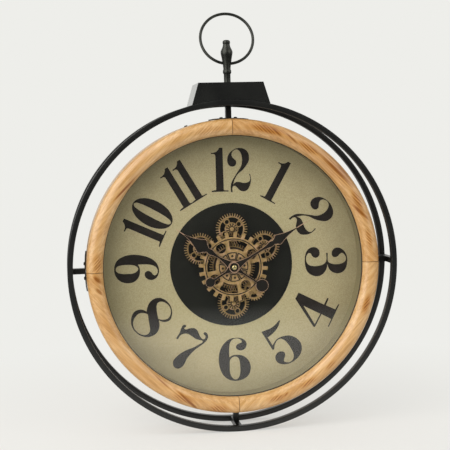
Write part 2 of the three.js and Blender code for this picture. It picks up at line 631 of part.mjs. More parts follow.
// Thick centre gear with a hub that carries the large cog wheel
function makeMainWheel() {
  const gear = plate(gearOutline(CENTRE_TEETH, 0), [], pinionRear, gearFront);
  const hub = disc(WHEEL_HUB_RADIUS, gearFront - GEAR_THICK / 2, wheelRear - SEAT, MID_ROUND);
  const bore = disc(wheelBore, 0, wheelFront + FIT, MID_ROUND);
  place('centre_gear', cut(join(gear, hub), bore), BRONZE, works);

  const half = WHEEL_TOOTH_WIDTH / 2;
  const rootHalf = THREE.MathUtils.radToDeg(Math.asin(half / WHEEL_ROOT_RADIUS));
  const tipHalf = THREE.MathUtils.radToDeg(Math.asin(half / WHEEL_TIP_RADIUS));
  const outline = Array.from({ length: WHEEL_TEETH }, (_, k) => {
    const middle = WHEEL_TURN + (360 * k) / WHEEL_TEETH;
    return [
      polar(WHEEL_ROOT_RADIUS, middle - rootHalf), polar(WHEEL_TIP_RADIUS, middle - tipHalf),
      polar(WHEEL_TIP_RADIUS, middle + tipHalf), polar(WHEEL_ROOT_RADIUS, middle + rootHalf),
    ];
  }).flat();
  const windows = quarters.map((k) => {
    return arcWindow(WHEEL_WINDOW_INNER, WHEEL_WINDOW_OUTER, WHEEL_WINDOW_TURN + k, WHEEL_WINDOW_HALF_SPAN);
  });
  const rounds = quarters.map((k) => {
    const spot = polar(WHEEL_HOLE_CIRCLE, WHEEL_WINDOW_TURN + 45 + k);
    return circle(WHEEL_HOLE_RADIUS, MID_ROUND, spot.x, spot.y);
  });
  const holes = [circle(wheelBore, MID_ROUND), ...windows, ...rounds];
  place('main_cog_wheel', plate(outline, holes, wheelRear, wheelFront), BRONZE, works);
}

// Fixed sleeve that clamps the dial to the movement and carries the main wheel, with its retaining clip
function makeSleeve() {
  const rear = plateFront + SEAT;
  const front = clipFront + SEAT;
  const section = [
    [sleeveBore, rear], [SLEEVE_FLANGE_RADIUS, rear], [SLEEVE_FLANGE_RADIUS, flangeFront],
    [sleeveRadius, flangeFront], [sleeveRadius, front], [sleeveBore, front],
  ];
  place('bearing_sleeve', turned(section, MID_ROUND), BRASS, works);
  const clip = washer(sleeveRadius + FIT, WHEEL_HUB_RADIUS, clipRear, clipFront, MID_ROUND);
  place('wheel_clip', clip, STEEL, works);
}

// Half outline of a hand from its tip to the end of its tail, mirrored to close it
function handOutline(hand) {
  const half = new THREE.Path();
  const side = hand.hubRadius * Math.SQRT1_2;
  const flare = HUB_FLARE * hand.hubRadius;
  const bead = hand.neckAt - 2 * hand.beadHalf;
  const wide = hand.shoulderHalf;
  const bladeMid = (hand.needleAt + hand.shoulderAt) / 2;
  const drop = hand.shoulderAt - hand.neckAt;
  half.moveTo(hand.length, hand.needleHalf / 2);
  half.lineTo(hand.needleAt, hand.needleHalf);
  half.quadraticCurveTo(bladeMid, wide / 4, hand.shoulderAt, wide);
  const heel = hand.neckAt + drop / 2;
  half.quadraticCurveTo(hand.shoulderAt - drop / 4, wide * SHOULDER_BULGE, heel, wide * SHOULDER_HEEL);
  half.lineTo(hand.neckAt, hand.neckHalf);
  half.quadraticCurveTo(hand.neckAt - hand.beadHalf, 2 * hand.beadHalf - hand.neckHalf, bead, hand.neckHalf);
  half.lineTo(bead - hand.hubRadius, hand.stemHalf);
  half.lineTo(HUB_FLARE_FRONT * hand.hubRadius, hand.stemHalf);
  half.quadraticCurveTo(flare, HUB_FLARE_RISE * hand.stemHalf, side, side);
  half.absarc(0, 0, hand.hubRadius, Math.PI / 4, (3 * Math.PI) / 4, false);
  half.quadraticCurveTo(-flare, hand.stemHalf, -HUB_FLARE_TAIL * hand.hubRadius, hand.stemHalf);
  const open = Math.asin(hand.stemHalf / hand.tailRadius);
  half.absarc(-hand.tailReach, 0, hand.tailRadius, open, Math.PI - open / 2, false);
  const apart = (point, k, all) => k === 0 || point.distanceTo(all[k - 1]) > FIT / 10;
  const upper = half.getPoints(CURVE_STEPS).filter(apart);
  return [...upper, ...upper.map((point) => new THREE.Vector2(point.x, -point.y)).reverse()];
}

// Hands with their arbors: the hour tube runs in the movement's bush, the minute shaft inside the tube
function makeHands() {
  const tubeBore = hourTubeRadius - HOUR_TUBE_WALL;
  const hourHole = circle(hourTubeRadius + FIT, MID_ROUND);
  const hour = plate(handOutline(HOUR_HAND), [hourHole], hourRear, hourFront);
  place('hour_hand', hour, HAND_BLACK, works).rotation.y = -THREE.MathUtils.degToRad(HOUR_ANGLE);
  const tube = washer(tubeBore, hourTubeRadius, CASE_OFFSET - SHAFT_BITE, hourFront + SEAT, MID_ROUND);
  place('hour_tube', tube, STEEL, works);

  const minuteHole = circle(MINUTE_SHAFT_RADIUS + FIT, SMALL_ROUND);
  const minute = plate(handOutline(MINUTE_HAND), [minuteHole], minuteRear, minuteFront);
  place('minute_hand', minute, HAND_BLACK, works).rotation.y = -THREE.MathUtils.degToRad(MINUTE_ANGLE);
  const shaftFront = handNutFront - HAND_NUT_THICK / 2;
  const shaft = disc(MINUTE_SHAFT_RADIUS, CASE_OFFSET - SHAFT_BITE, shaftFront, SMALL_ROUND);
  place('minute_shaft', shaft, STEEL, works);

  const nut = turned([
    [0, handNutRear], [HAND_NUT_RADIUS, handNutRear], [HAND_NUT_RADIUS, handNutFront - HAND_NUT_CHAMFER],
    [HAND_NUT_RADIUS - HAND_NUT_CHAMFER, handNutFront], [0, handNutFront],
  ], SMALL_ROUND);
  const nutBore = disc(MINUTE_SHAFT_RADIUS + FIT, handNutRear - FIT, shaftFront + FIT, SMALL_ROUND);
  place('hand_nut', cut(nut, nutBore), BRASS, works);
}

// Quartz movement with its own cell and setting knob
function makeMovement() {
  const front = CASE_OFFSET - SEAT;
  const rear = front - MOVEMENT_DEEP;
  const cellHeight = -MOVEMENT_SIDE / 2 + MOVEMENT_WALL + CELL_RADIUS + FIT;
  const cellDepth = rear + CELL_RADIUS + FIT;
  const bush = disc(BUSH_RADIUS, front - MOVEMENT_WALL, clipRear, MID_ROUND);
  const arborBore = disc(hourTubeRadius + FIT, front - SHAFT_BITE - FIT, clipFront, MID_ROUND);
  const pocketWide = CELL_LENGTH + 2 * FIT;
  const pocketHigh = 2 * (CELL_RADIUS + FIT);
  const pocket = block(pocketWide, pocketHigh, rear - FIT, cellDepth + CELL_RADIUS + FIT, 0, cellHeight);
  const knobBore = disc(SET_KNOB_STEM + FIT, rear - FIT, rear + SHAFT_BITE, SMALL_ROUND);
  knobBore.translate(0, 0, SET_KNOB_OFFSET);
  const body = join(block(MOVEMENT_SIDE, MOVEMENT_SIDE, rear, front), bush);
  place('movement_case', cut(body, arborBore, pocket, knobBore), BLACK_PLASTIC, works);

  const cell = rod(CELL_RADIUS, CELL_LENGTH).rotateZ(Math.PI / 2);
  place('movement_cell', cell, CELL_STEEL, works).position.set(0, -cellDepth, cellHeight);

  const knobFace = rear - RUN_GAP;
  const knob = turned([
    [0, knobFace - SET_KNOB_THICK], [SET_KNOB_RADIUS, knobFace - SET_KNOB_THICK], [SET_KNOB_RADIUS, knobFace],
    [SET_KNOB_STEM, knobFace], [SET_KNOB_STEM, rear + SHAFT_BITE - RUN_GAP], [0, rear + SHAFT_BITE - RUN_GAP],
  ], SMALL_ROUND);
  place('set_knob', knob, BLACK_PLASTIC, works).position.z = SET_KNOB_OFFSET;
}

// Gear motor behind the pinion, and the battery box below it with two cells and a sliding cover
function makeDrive() {
  const front = CASE_OFFSET - SEAT;
  const motorRear = front - MOTOR_DEEP;
  const bore = disc(MOTOR_SHAFT_RADIUS + FIT, front - SHAFT_BITE - FIT, front + FIT, SMALL_ROUND);
  bore.translate(pinionSpot.x, 0, pinionSpot.y);
  const motor = block(MOTOR_SIDE, MOTOR_SIDE, motorRear, front, motorSpot.x, motorSpot.y);
  place('motor_case', cut(motor, bore), BLACK_PLASTIC, works);

  const pocketWide = CELL_LENGTH + 2 * FIT;
  const pocketHigh = 4 * CELL_RADIUS + 3 * FIT;
  const pocketDeep = 2 * (CELL_RADIUS + FIT);
  const boxHigh = pocketHigh + 2 * BATTERY_WALL;
  const boxWide = pocketWide + 2 * BATTERY_WALL;
  const boxRear = front - BATTERY_WALL - pocketDeep;
  const boxHeight = motorSpot.y - MOTOR_SIDE / 2 - WORKS_GAP - boxHigh / 2;
  const shell = block(boxWide, boxHigh, boxRear, front, 0, boxHeight);
  const pocket = block(pocketWide, pocketHigh, boxRear - FIT, front - BATTERY_WALL, 0, boxHeight);
  place('battery_box', cut(shell, pocket), BLACK_PLASTIC, works);
  const cell = rod(CELL_RADIUS, CELL_LENGTH).rotateZ(Math.PI / 2);
  const cellDepth = front - BATTERY_WALL - CELL_RADIUS - FIT;
  const apart = CELL_RADIUS + FIT / 2;
  place('battery_cell_upper', cell.clone(), CELL_STEEL, works).position.set(0, -cellDepth, boxHeight + apart);
  place('battery_cell_lower', cell, CELL_STEEL, works).position.set(0, -cellDepth, boxHeight - apart);
  const coverFront = boxRear - SEAT;
  const cover = block(boxWide, boxHigh, coverFront - BATTERY_COVER_THICK, coverFront, 0, boxHeight);
  place('battery_cover', cover, BLACK_PLASTIC, works);
}

makeHoops();
makeBrackets();
makeBracketScrews();
makeRim();
makeCaseFilling();
makeCrown();
makeFinial();
makeSmallGears();
makePinion();
makeMainWheel();
makeSleeve();
makeHands();
makeMovement();
makeDrive();

// The origin sits on the hanger plate, so the dial hangs below it.
clock.position.z = -hangerHeight;
const part = new THREE.Group();
part.add(clock);

export default part;
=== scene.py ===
# Fob-watch wall clock of pine and black steel: finishes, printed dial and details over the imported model.
# Lengths are in millimetres until a mesh is made. Angles are in degrees, anticlockwise from 3 o'clock.
# Shapes are drawn as seen from the front: x to the right, y up, z out from the wall.
import json
import math
from functools import partial
from types import SimpleNamespace

import bmesh
import bpy
from mathutils import Matrix, Vector


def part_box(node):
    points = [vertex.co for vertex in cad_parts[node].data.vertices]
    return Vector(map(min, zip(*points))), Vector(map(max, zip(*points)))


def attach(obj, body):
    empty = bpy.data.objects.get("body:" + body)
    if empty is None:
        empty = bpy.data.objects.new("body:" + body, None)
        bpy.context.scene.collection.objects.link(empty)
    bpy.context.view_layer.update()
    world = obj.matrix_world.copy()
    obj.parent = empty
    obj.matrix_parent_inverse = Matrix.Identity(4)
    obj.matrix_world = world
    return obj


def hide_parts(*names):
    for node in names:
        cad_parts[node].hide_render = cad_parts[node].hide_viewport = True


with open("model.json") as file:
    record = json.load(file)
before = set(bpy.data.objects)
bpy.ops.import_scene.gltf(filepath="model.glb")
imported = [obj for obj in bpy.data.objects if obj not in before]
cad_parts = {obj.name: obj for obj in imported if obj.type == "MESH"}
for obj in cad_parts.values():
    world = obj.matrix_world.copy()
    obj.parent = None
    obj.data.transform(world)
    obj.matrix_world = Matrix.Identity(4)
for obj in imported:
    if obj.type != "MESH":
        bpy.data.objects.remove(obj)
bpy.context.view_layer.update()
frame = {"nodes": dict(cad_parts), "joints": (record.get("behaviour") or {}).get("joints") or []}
cad = frame["nodes"]
MM = 0.001


def back_of(name):
    return -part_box(name)[1].y / MM


def front_of(name):
    return -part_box(name)[0].y / MM


def height_of(name):
    low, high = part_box(name)
    return (low.z + high.z) / 2 / MM


def middle_of(name):
    low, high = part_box(name)
    return (low + high) / 2 / MM


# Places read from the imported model
DIAL_HEIGHT = height_of("front_hoop")
WORKS_HEIGHT = height_of("hand_nut")
RING_PIVOT = Vector(next(j["pos_m"] for j in frame["joints"] if j["name"] == "ring_swing")) / MM

# Hoops, wooden ring and what fills it
HOOP_OUTER = 300.0
HOOP_INNER = 290.0
HOOP_EDGE = 1.2
RIM_OUTER = 266.6
RIM_INNER = 237.0
RIM_REBATE = 244.0
RIM_CROWN = 12.0
RIM_BACK_EDGE = 1.0
SEAM_HALF = 0.45
GLASS_GAP = 0.1
GRAIN_STRETCH = 22.0
VEIN_WANDER = 2.0
LINER_BORE = 238.0
GASKET_BORE = 235.9
GASKET_EDGE = 0.8
FILL_RADIUS = 243.7
# Painted shade on the print: none within this radius, deepest at the fill's edge, its reach drifting by up
# to this much.
EDGE_SHADE_FROM = 110.0
EDGE_SHADE_DRIFT = 45.0

# Crown block, finial and hanging ring
CROWN_TOP = 331.0
FINIAL_DEPTH = 45.0
RING_RADIUS = 48.4
RING_WIRE = 2.6
RING_HOLE = 4.0
RING_LEAN = -17.0
RING_SLIP = 3.5
DRILL_REACH = 20.0

# Brackets on the wooden ring, and screws: a head's dome is given in shares of its radius and rise
STRUT_ANGLES = {"top": 90.0, "right": 0.0, "bottom": 270.0, "left": 180.0}
SCREW_ANGLE = 2.8125
SCREW_SEAT = 268.88
SCREW_HEAD = 3.2
SCREW_RISE = 2.0
SCREW_SHANK = 1.6
SCREW_LENGTH = 9.8
SCREW_LAP = 0.1
SIDE_SCREW_ANGLE = 107.0
HEAD_DOME = [(0.0, 0.0), (1.0, 0.0), (1.0, 0.35), (0.9, 0.68), (0.62, 0.93), (0.0, 1.0)]
RECESS_FLOOR = 0.35
RECESS_ARM = 0.6
RECESS_HALF = 0.13

# Gear train: the points of an edge are steps in from the side and down from the top
GEAR_MODULE = 1.5
CENTRE_TEETH = 54
SMALL_TEETH = 37
# Each small gear has its direction from the centre and the turn of its first spoke.
SMALL_GEARS = {"top": (90.0, 33.0), "right": (30.0, 24.0), "bottom": (270.0, 26.0), "left": (150.0, 43.0)}
SMALL_DISTANCE = GEAR_MODULE * (CENTRE_TEETH + SMALL_TEETH) / 2
SPOKES = 4
GEAR_THICK = 4.0
GEAR_BEVEL = 0.3
# A tooth's root and tip are in modules from the pitch circle, their half widths in shares of a tooth's step.
TOOTH_ROOT = 2.6
TOOTH_TIP = 0.9
TOOTH_ROOT_HALF = 0.2
TOOTH_TIP_HALF = 0.1
CENTRE_BAND = 35.4
CENTRE_HUB = 9.5
WEB_DROP = 1.2
WEB_BACK = 0.3
WEB_LAP = 0.2
SMALL_RIM = 2.4
SMALL_WINDOW_EDGE = 1.5
BEAD_SPAN = (0.4, 1.6)
BEAD_RISE = 0.7
ROSETTE_RADIUS = 11.5
ROSETTE_RISE = 1.2
ROSETTE_LEDGE = 1.0
ROSETTE_EDGE = [(0.0, 0.5), (0.6, 0.0)]
ROSETTE_HOLLOW = (-0.3, 0.15)
ROSETTE_RIBS = 12
RIB_CIRCLE = 7.7
RIB_HALVES = (3.2, 1.25, 1.5)
KNOB_RADIUS = 3.9
KNOB_EDGE = [(0.0, 1.2), (0.9, 0.3)]
BOSS_CIRCLE = 16.0
BOSS_HOLE = 3.9
BOSS_RADIUS = 4.7
COLLAR_WIDE = 1.6
COLLAR_RISE = 0.9
WHEEL_TEETH = 24
WHEEL_TIP = 63.5
WHEEL_ROOT = 54.5
WHEEL_TOOTH = 6.4
WHEEL_TOOTH_EDGE = 0.8
WHEEL_TURN = -4.5
WHEEL_BORE = 6.8
WHEEL_GROOVE = 51.0
WHEEL_GROOVE_HALF = 1.0
GROOVE_FLOOR_HALF = 1.5
GROOVE_DEPTH = 0.8
WHEEL_WEB_RISE = 0.3
WHEEL_WINDOW = (32.5, 48.5)
WHEEL_WINDOW_TURN = 77.5
WHEEL_WINDOW_HALF = 22.0
WHEEL_WINDOW_EDGE = 3.0
WHEEL_HOLE = 9.6
WHEEL_HOLE_CIRCLE = 41.0
HUB_PADS = 8
HUB_PAD_TURN = 5.5
HUB_PAD = (14.6, 25.2)
HUB_PAD_HALF = 16.0
HUB_PAD_EDGE = 2.5
HUB_PAD_DEPTHS = (0.4, 1.3)
HUB_BED = (12.8, 27.2)
HUB_BED_HALF = 21.5
HUB_BED_EDGE = 3.0
HUB_BED_RISE = 0.5
PAD_HOLE = 2.2
PAD_HOLE_CIRCLE = 20.0
HUB_RIM = (10.2, 12.6)
HUB_RIM_RISE = 1.0

# Hands: distances run along the hand from its arbor
HOUR_HAND = SimpleNamespace(
    length=128.0, needle_at=108.0, needle=0.8, shoulder_at=72.0, shoulder=13.8, neck_at=57.0, neck=4.2,
    bead=5.6, stem=1.8, hub=11.0, tail_at=62.5, tail=11.8)
MINUTE_HAND = SimpleNamespace(
    length=161.5, needle_at=136.0, needle=0.8, shoulder_at=96.0, shoulder=9.8, neck_at=85.0, neck=4.2,
    bead=5.5, stem=2.1, hub=10.5, tail_at=51.2, tail=9.0)
SHOULDER_BULGE = 1.1
HEEL_SHARE = 0.7
HUB_FLARE = 1.6
FLARE_REACH = 3.0
STEM_SWELL = 2.4
TAIL_END = 175.0
HOUR_ANGLE = 145.0
MINUTE_ANGLE = 30.0
HOUR_BORE = 3.0
MINUTE_BORE = 1.8
HAND_EDGE = 0.75
HAND_FACE = 0.15
FACE_INSET = 0.2
FACE_LEAST = 0.3
HUB_RING = (8.2, 9.4)
HUB_RING_DEPTHS = (-0.3, 0.5)
NUT_RADIUS = 4.6
NUT_EDGE = [(0.0, 1.6), (0.3, 0.9), (1.1, 0.3)]

# Works on the back
CELL_BASE = [(0.8, 0.0), (0.0, 0.6)]
CELL_SHOULDER = [(0.0, 1.8), (0.7, 1.1)]
CELL_BUTTON = 2.8
CELL_BUTTON_EDGE = [(0.0, 1.1), (0.2, 0.2), (0.6, 0.0)]
SETTER_RIDGES = 24
SETTER_RIDGE = 7.0
SETTER_GROOVE = 6.6
SETTER_CAP = 4.0
SETTER_STEM = 2.0
GRIP_RIBS = 5
GRIP_START = 14.0
GRIP_STEP = 2.4
GRIP_RIB_HALF = 0.6
GRIP_REACH = 8.0
GRIP_DEPTHS = (-0.7, 0.2)
CLIPS = 8
CLIP_SPAN = (236.0, 258.0)
CLIP_HALF = 6.0
CLIP_DEPTHS = (-1.3, -0.1)
CLIP_SCREW = 252.0
CLIP_SCREW_SEAT = -1.2
CLIP_SCREW_HEAD = 3.4
CLIP_SCREW_RISE = 1.8

# Depths that joined shapes reach into each other
SEAT_DEPTH = 1.0
SINK = 0.5

# Facets and rounding
TURN_STEPS = 128
RING_STEPS = 96
MIDDLE_STEPS = 64
QUARTER_STEPS = 48
SMALL_STEPS = 32
BOSS_STEPS = 20
WIRE_STEPS = 16
CURVE_STEPS = 10
MERGE_DISTANCE = 1e-4
SHARP = math.radians(38)
EASED_ABOVE = math.radians(40)
ROUNDED_ABOVE = math.radians(25)
ROUNDED_SHARE = 0.45


# Shapes
def polar(radius, degrees):
    angle = math.radians(degrees)
    return radius * math.cos(angle), radius * math.sin(angle)


def circle(radius, steps=SMALL_STEPS, x=0.0, y=0.0):
    spots = [polar(radius, 360 * k / steps) for k in range(steps)]
    return [(x + right, y + up) for right, up in spots]


def rounded(points, radius, steps=4):
    """The closed outline with its corners rounded; gentle bends stay as they are."""
    outline = []
    for k, corner in enumerate(points):
        here = Vector(corner)
        back = Vector(points[k - 1]) - here
        ahead = Vector(points[(k + 1) % len(points)]) - here
        bend_angle = math.pi - back.angle(ahead)
        if bend_angle < ROUNDED_ABOVE:
            outline.append(tuple(here))
            continue
        limit = ROUNDED_SHARE * min(back.length, ahead.length)
        reach = min(radius * math.tan(bend_angle / 2), limit)
        start = here + back.normalized() * reach
        end = here + ahead.normalized() * reach
        outline += [tuple(pulled(start, here, end, step / steps)) for step in range(steps + 1)]
    return outline


def pulled(start, pull, end, t):
    """A point on the curve between two points that is pulled towards a third."""
    return start * (1 - t) ** 2 + pull * 2 * t * (1 - t) + end * t ** 2


def cleaned(shape):
    bmesh.ops.remove_doubles(shape, verts=shape.verts, dist=MERGE_DISTANCE)
    bmesh.ops.recalc_face_normals(shape, faces=shape.faces)
    return shape


def turned(section, steps=TURN_STEPS, start=0.0, sweep=360.0):
    """A section of (radius, depth) points turned about the z axis, all round or over part of a circle."""
    shape = bmesh.new()
    whole = sweep >= 360.0
    rows = []
    for k in range(steps if whole else steps + 1):
        angle = start + sweep * k / steps
        rows.append([shape.verts.new((*polar(radius, angle), depth)) for radius, depth in section])
    on_axis = section[0][0] == 0.0 and section[-1][0] == 0.0
    sides = len(section) - 1 if on_axis else len(section)
    for k in range(steps):
        this = rows[k]
        following = rows[(k + 1) % len(rows)]
        for a in range(sides):
            b = (a + 1) % len(section)
            shape.faces.new((this[a], this[b], following[b], following[a]))
    if not whole:
        shape.faces.new(rows[0])
        shape.faces.new(rows[-1])
    return cleaned(shape)


def washer(inner, outer, rear, front, edge=0.3, steps=TURN_STEPS):
    section = [(inner, rear), (inner, front), (outer, front), (outer, rear)]
    return turned(rounded(section, edge), steps)


def edged(radius, top, edge):
    """Points of a turned edge, from its steps in from the side and down from the top."""
    return [(radius - inward, top - down) for inward, down in edge]


def depths(level, span):
    """Rear and front of a shape, from their distances to a level."""
    return [level + distance for distance in span]


def rod(radius, rear, front):
    return turned([(0.0, rear), (radius, rear), (radius, front), (0.0, front)], SMALL_STEPS)


def link(name, data):
    new = bpy.data.objects.new(name, data)
    bpy.context.scene.collection.objects.link(new)
    return new


def flat(outlines, rear, front, bevel=0.0, smooth=False):
    """Closed outlines filled between two depths; smooth ones bend, except at points with a third value."""
    curve = bpy.data.curves.new("outline", "CURVE")
    curve.dimensions = "2D"
    curve.fill_mode = "BOTH"
    curve.extrude = (front - rear) / 2 - bevel
    curve.bevel_depth = bevel
    curve.bevel_resolution = 1
    curve.offset = -bevel
    curve.resolution_u = 8
    for outline in outlines:
        spline = curve.splines.new("BEZIER" if smooth else "POLY")
        points = spline.bezier_points if smooth else spline.points
        points.add(len(outline) - 1)
        for point, (x, y, *corner) in zip(points, outline):
            point.co = (x, y, 0) if smooth else (x, y, 0, 1)
            if smooth:
                handle = "VECTOR" if corner else "AUTO"
                point.handle_left_type = handle
                point.handle_right_type = handle
        spline.use_cyclic_u = True
    drawn = link("outline", curve)
    mesh = bpy.data.meshes.new_from_object(drawn.evaluated_get(bpy.context.evaluated_depsgraph_get()))
    shape = bmesh.new()
    shape.from_mesh(mesh)
    bpy.data.objects.remove(drawn)
    bpy.data.curves.remove(curve)
    bpy.data.meshes.remove(mesh)
    return moved(cleaned(shape), at(0, 0, (front + rear) / 2))


def moved(shape, *steps):
    """The shape after these matrices, the last one first."""
    for step in reversed(steps):
        shape.transform(step)
    return shape


def at(x, y, z=0.0):
    return Matrix.Translation((x, y, z))


def turn(degrees, axis="Z"):
    return Matrix.Rotation(math.radians(degrees), 4, axis)


def as_mesh(shape, name="shape"):
    """The drawn shape as a mesh, which takes its place."""
    mesh = bpy.data.meshes.new(name)
    shape.to_mesh(mesh)
    shape.free()
    return mesh


def gathered(*shapes):
    """Several shapes as one."""
    whole = bmesh.new()
    for shape in shapes:
        mesh = as_mesh(shape)
        whole.from_mesh(mesh)
        bpy.data.meshes.remove(mesh)
    return whole


def carved(body, tool):
    """The first shape with the second cut out of it."""
    pair = [link("shape", as_mesh(shape)) for shape in (body, tool)]
    modifier = pair[0].modifiers.new("cut", "BOOLEAN")
    modifier.object = pair[1]
    modifier.solver = "EXACT"
    whole = bmesh.new()
    whole.from_object(pair[0], bpy.context.evaluated_depsgraph_get())
    for thing in pair:
        mesh = thing.data
        bpy.data.objects.remove(thing)
        bpy.data.meshes.remove(mesh)
    return whole


def piece(name, shape, finish, body, height=DIAL_HEIGHT, stands_for=()):
    """Turns a drawn shape into a piece of the clock that rides on a body."""
    shape.transform(Matrix.Scale(MM, 4) @ at(0, 0, height) @ turn(90, "X"))
    mesh = as_mesh(shape, name)
    mesh.polygons.foreach_set("use_smooth", [True] * len(mesh.polygons))
    mesh.set_sharp_from_angle(angle=SHARP)
    mesh.materials.append(finish)
    new = link(name, mesh)
    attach(new, body)
    if stands_for:
        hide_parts(*stands_for)


def dress(name, finish, edge=0.0):
    """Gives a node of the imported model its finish, with its edges eased by a bevel."""
    thing = cad[name]
    thing.material_slots[0].material = finish
    if edge:
        bevel = thing.modifiers.new("eased_edges", "BEVEL")
        bevel.width = edge * MM
        bevel.segments = 2
        bevel.limit_method = "ANGLE"
        bevel.angle_limit = EASED_ABOVE


# Finishes
def linear(code):
    """An sRGB hex colour as linear red, green, blue and alpha."""
    parts = [int(code[k:k + 2], 16) / 255 for k in (0, 2, 4)]
    return [*(c / 12.92 if c <= 0.04045 else ((c + 0.055) / 1.055) ** 2.4 for c in parts), 1.0]


def per_mm(size):
    """Texture scale for a pattern whose marks are this many millimetres apart."""
    return 1 / (size * MM)


def node(tree, kind, settings=None, out=0):
    """Adds a node and returns an output; a socket among the settings is linked, the rest is set."""
    new = tree.nodes.new("ShaderNode" + kind)
    for key, value in (settings or {}).items():
        if key == "stops":
            for place, _ in value[1:-1]:
                new.color_ramp.elements.new(place)
            for stop, (place, colour) in zip(new.color_ramp.elements, value):
                stop.position = place
                stop.color = linear(colour)
        elif isinstance(value, bpy.types.NodeSocket):
            tree.links.new(value, new.inputs[key])
        elif isinstance(key, int) or key in new.inputs:
            new.inputs[key].default_value = value
        else:
            setattr(new, key, value)
    return new.outputs[out] if new.outputs else None


def blank(owner):
    """Empties the node tree of a finish or world, and returns what adds nodes to it."""
    owner.use_nodes = True
    owner.node_tree.nodes.clear()
    return partial(node, owner.node_tree)


def started(name):
    """A new finish, what adds its nodes, and the place on the piece that its patterns follow."""
    material = bpy.data.materials.new(name)
    add = blank(material)
    return material, add, add("TexCoord", out="Object")


def shown(material, settings, colour=None, rough=None, bump=None):
    """Ends a finish with its surface shader.

    Colour is a pattern with its stops, rough one with its two ends, bump one with a strength and a depth.
    """
    add = partial(node, material.node_tree)
    surface = dict(settings)
    if colour:
        surface["Base Color"] = add("ValToRGB", {"Fac": colour[0], "stops": colour[1]})
    if rough:
        surface["Roughness"] = add("MapRange", {"Value": rough[0], "To Min": rough[1], "To Max": rough[2]})
    if bump:
        surface["Normal"] = add("Bump", {"Height": bump[0], "Strength": bump[1], "Distance": bump[2] * MM})
    add("OutputMaterial", {"Surface": add("BsdfPrincipled", surface)})
    return material


def mottled(name, spacing, detail, stops, rough, settings, relief=None):
    """A finish whose colour and roughness follow one cloud, with a spacing in millimetres and a detail.

    Relief gives bumps with a spacing, detail, strength and depth of their own.
    """
    material, add, spot = started(name)
    cloud = add("TexNoise", {"Vector": spot, "Scale": per_mm(spacing), "Detail": detail})
    bump = None
    if relief:
        spacing, detail, *size = relief
        bump = (add("TexNoise", {"Vector": spot, "Scale": per_mm(spacing), "Detail": detail}), *size)
    return shown(material, settings, (cloud, stops), (cloud, *rough), bump)


def powder_coated_steel():
    # Steel bar under baked satin powder: near-black, soft highlights and a faint orange peel.
    # The peel is about 1 mm, drawn at 3 mm so that it shows.
    return mottled("powder_coated_steel", 40, 4.0, [(0.3, "0e0f0e"), (0.7, "161715")], (0.28, 0.36),
                   {"IOR": 1.5}, (3, 2.0, 0.25, 0.1))


def baked_enamel():
    # Steel sheet under stoved black enamel: smooth and near-black, pale where a face is seen almost edge-on.
    return mottled("baked_enamel", 40, 4.0, [(0.3, "141514"), (0.7, "1c1d1b")], (0.16, 0.24),
                   {"IOR": 1.5, "Coat Weight": 1.0, "Coat Roughness": 0.15})


def gunmetal_plate():
    # Turned steel with a dark brushed plating under lacquer: grey-black metal with soft highlights.
    return mottled("gunmetal_plate", 14, 4.0, [(0.3, "2b2d2a"), (0.7, "3e403b")], (0.24, 0.32),
                   {"Metallic": 0.7})


def tangent_turn(degrees):
    """Turn about the depth axis that lays a pattern's X along the ring at this angle."""
    angle = math.radians(degrees)
    return math.atan2(-math.cos(angle), -math.sin(angle))


def marked(add, spot, shade, tone, marks, line, grain=None):
    """The pine's shade and tone with marks that have a warm halo, along the ring or along a grain angle."""
    for mark_angle, radius, length, width, share in marks:
        x, y = Vector(polar(radius, mark_angle)) + Vector((VEIN_WANDER, VEIN_WANDER)) / 2
        near = add("Mapping", {
            "vector_type": "TEXTURE", "Vector": spot, "Location": (x * MM, 0, (y + DIAL_HEIGHT) * MM),
            "Rotation": (0, tangent_turn(mark_angle if grain is None else grain), 0),
            "Scale": (length * MM, 1, width * MM)})
        away = add("VectorMath", {"operation": "LENGTH", "Vector": near}, "Value")
        fading = {"interpolation_type": "SMOOTHSTEP", "Value": away, "From Max": 0.3}
        patch = add("MapRange", {**fading, "From Min": 1.0, "To Max": share})
        halo = add("MapRange", {**fading, "From Min": 1.8, "To Max": 0.85 * share})
        mark = add("Math", {"operation": "MULTIPLY", 0: patch, 1: line})
        shade = add("Math", {"operation": "MAXIMUM", 0: shade, 1: mark})
        tone = add("Math", {"operation": "MAXIMUM", 0: tone, 1: halo})
    return shade, tone


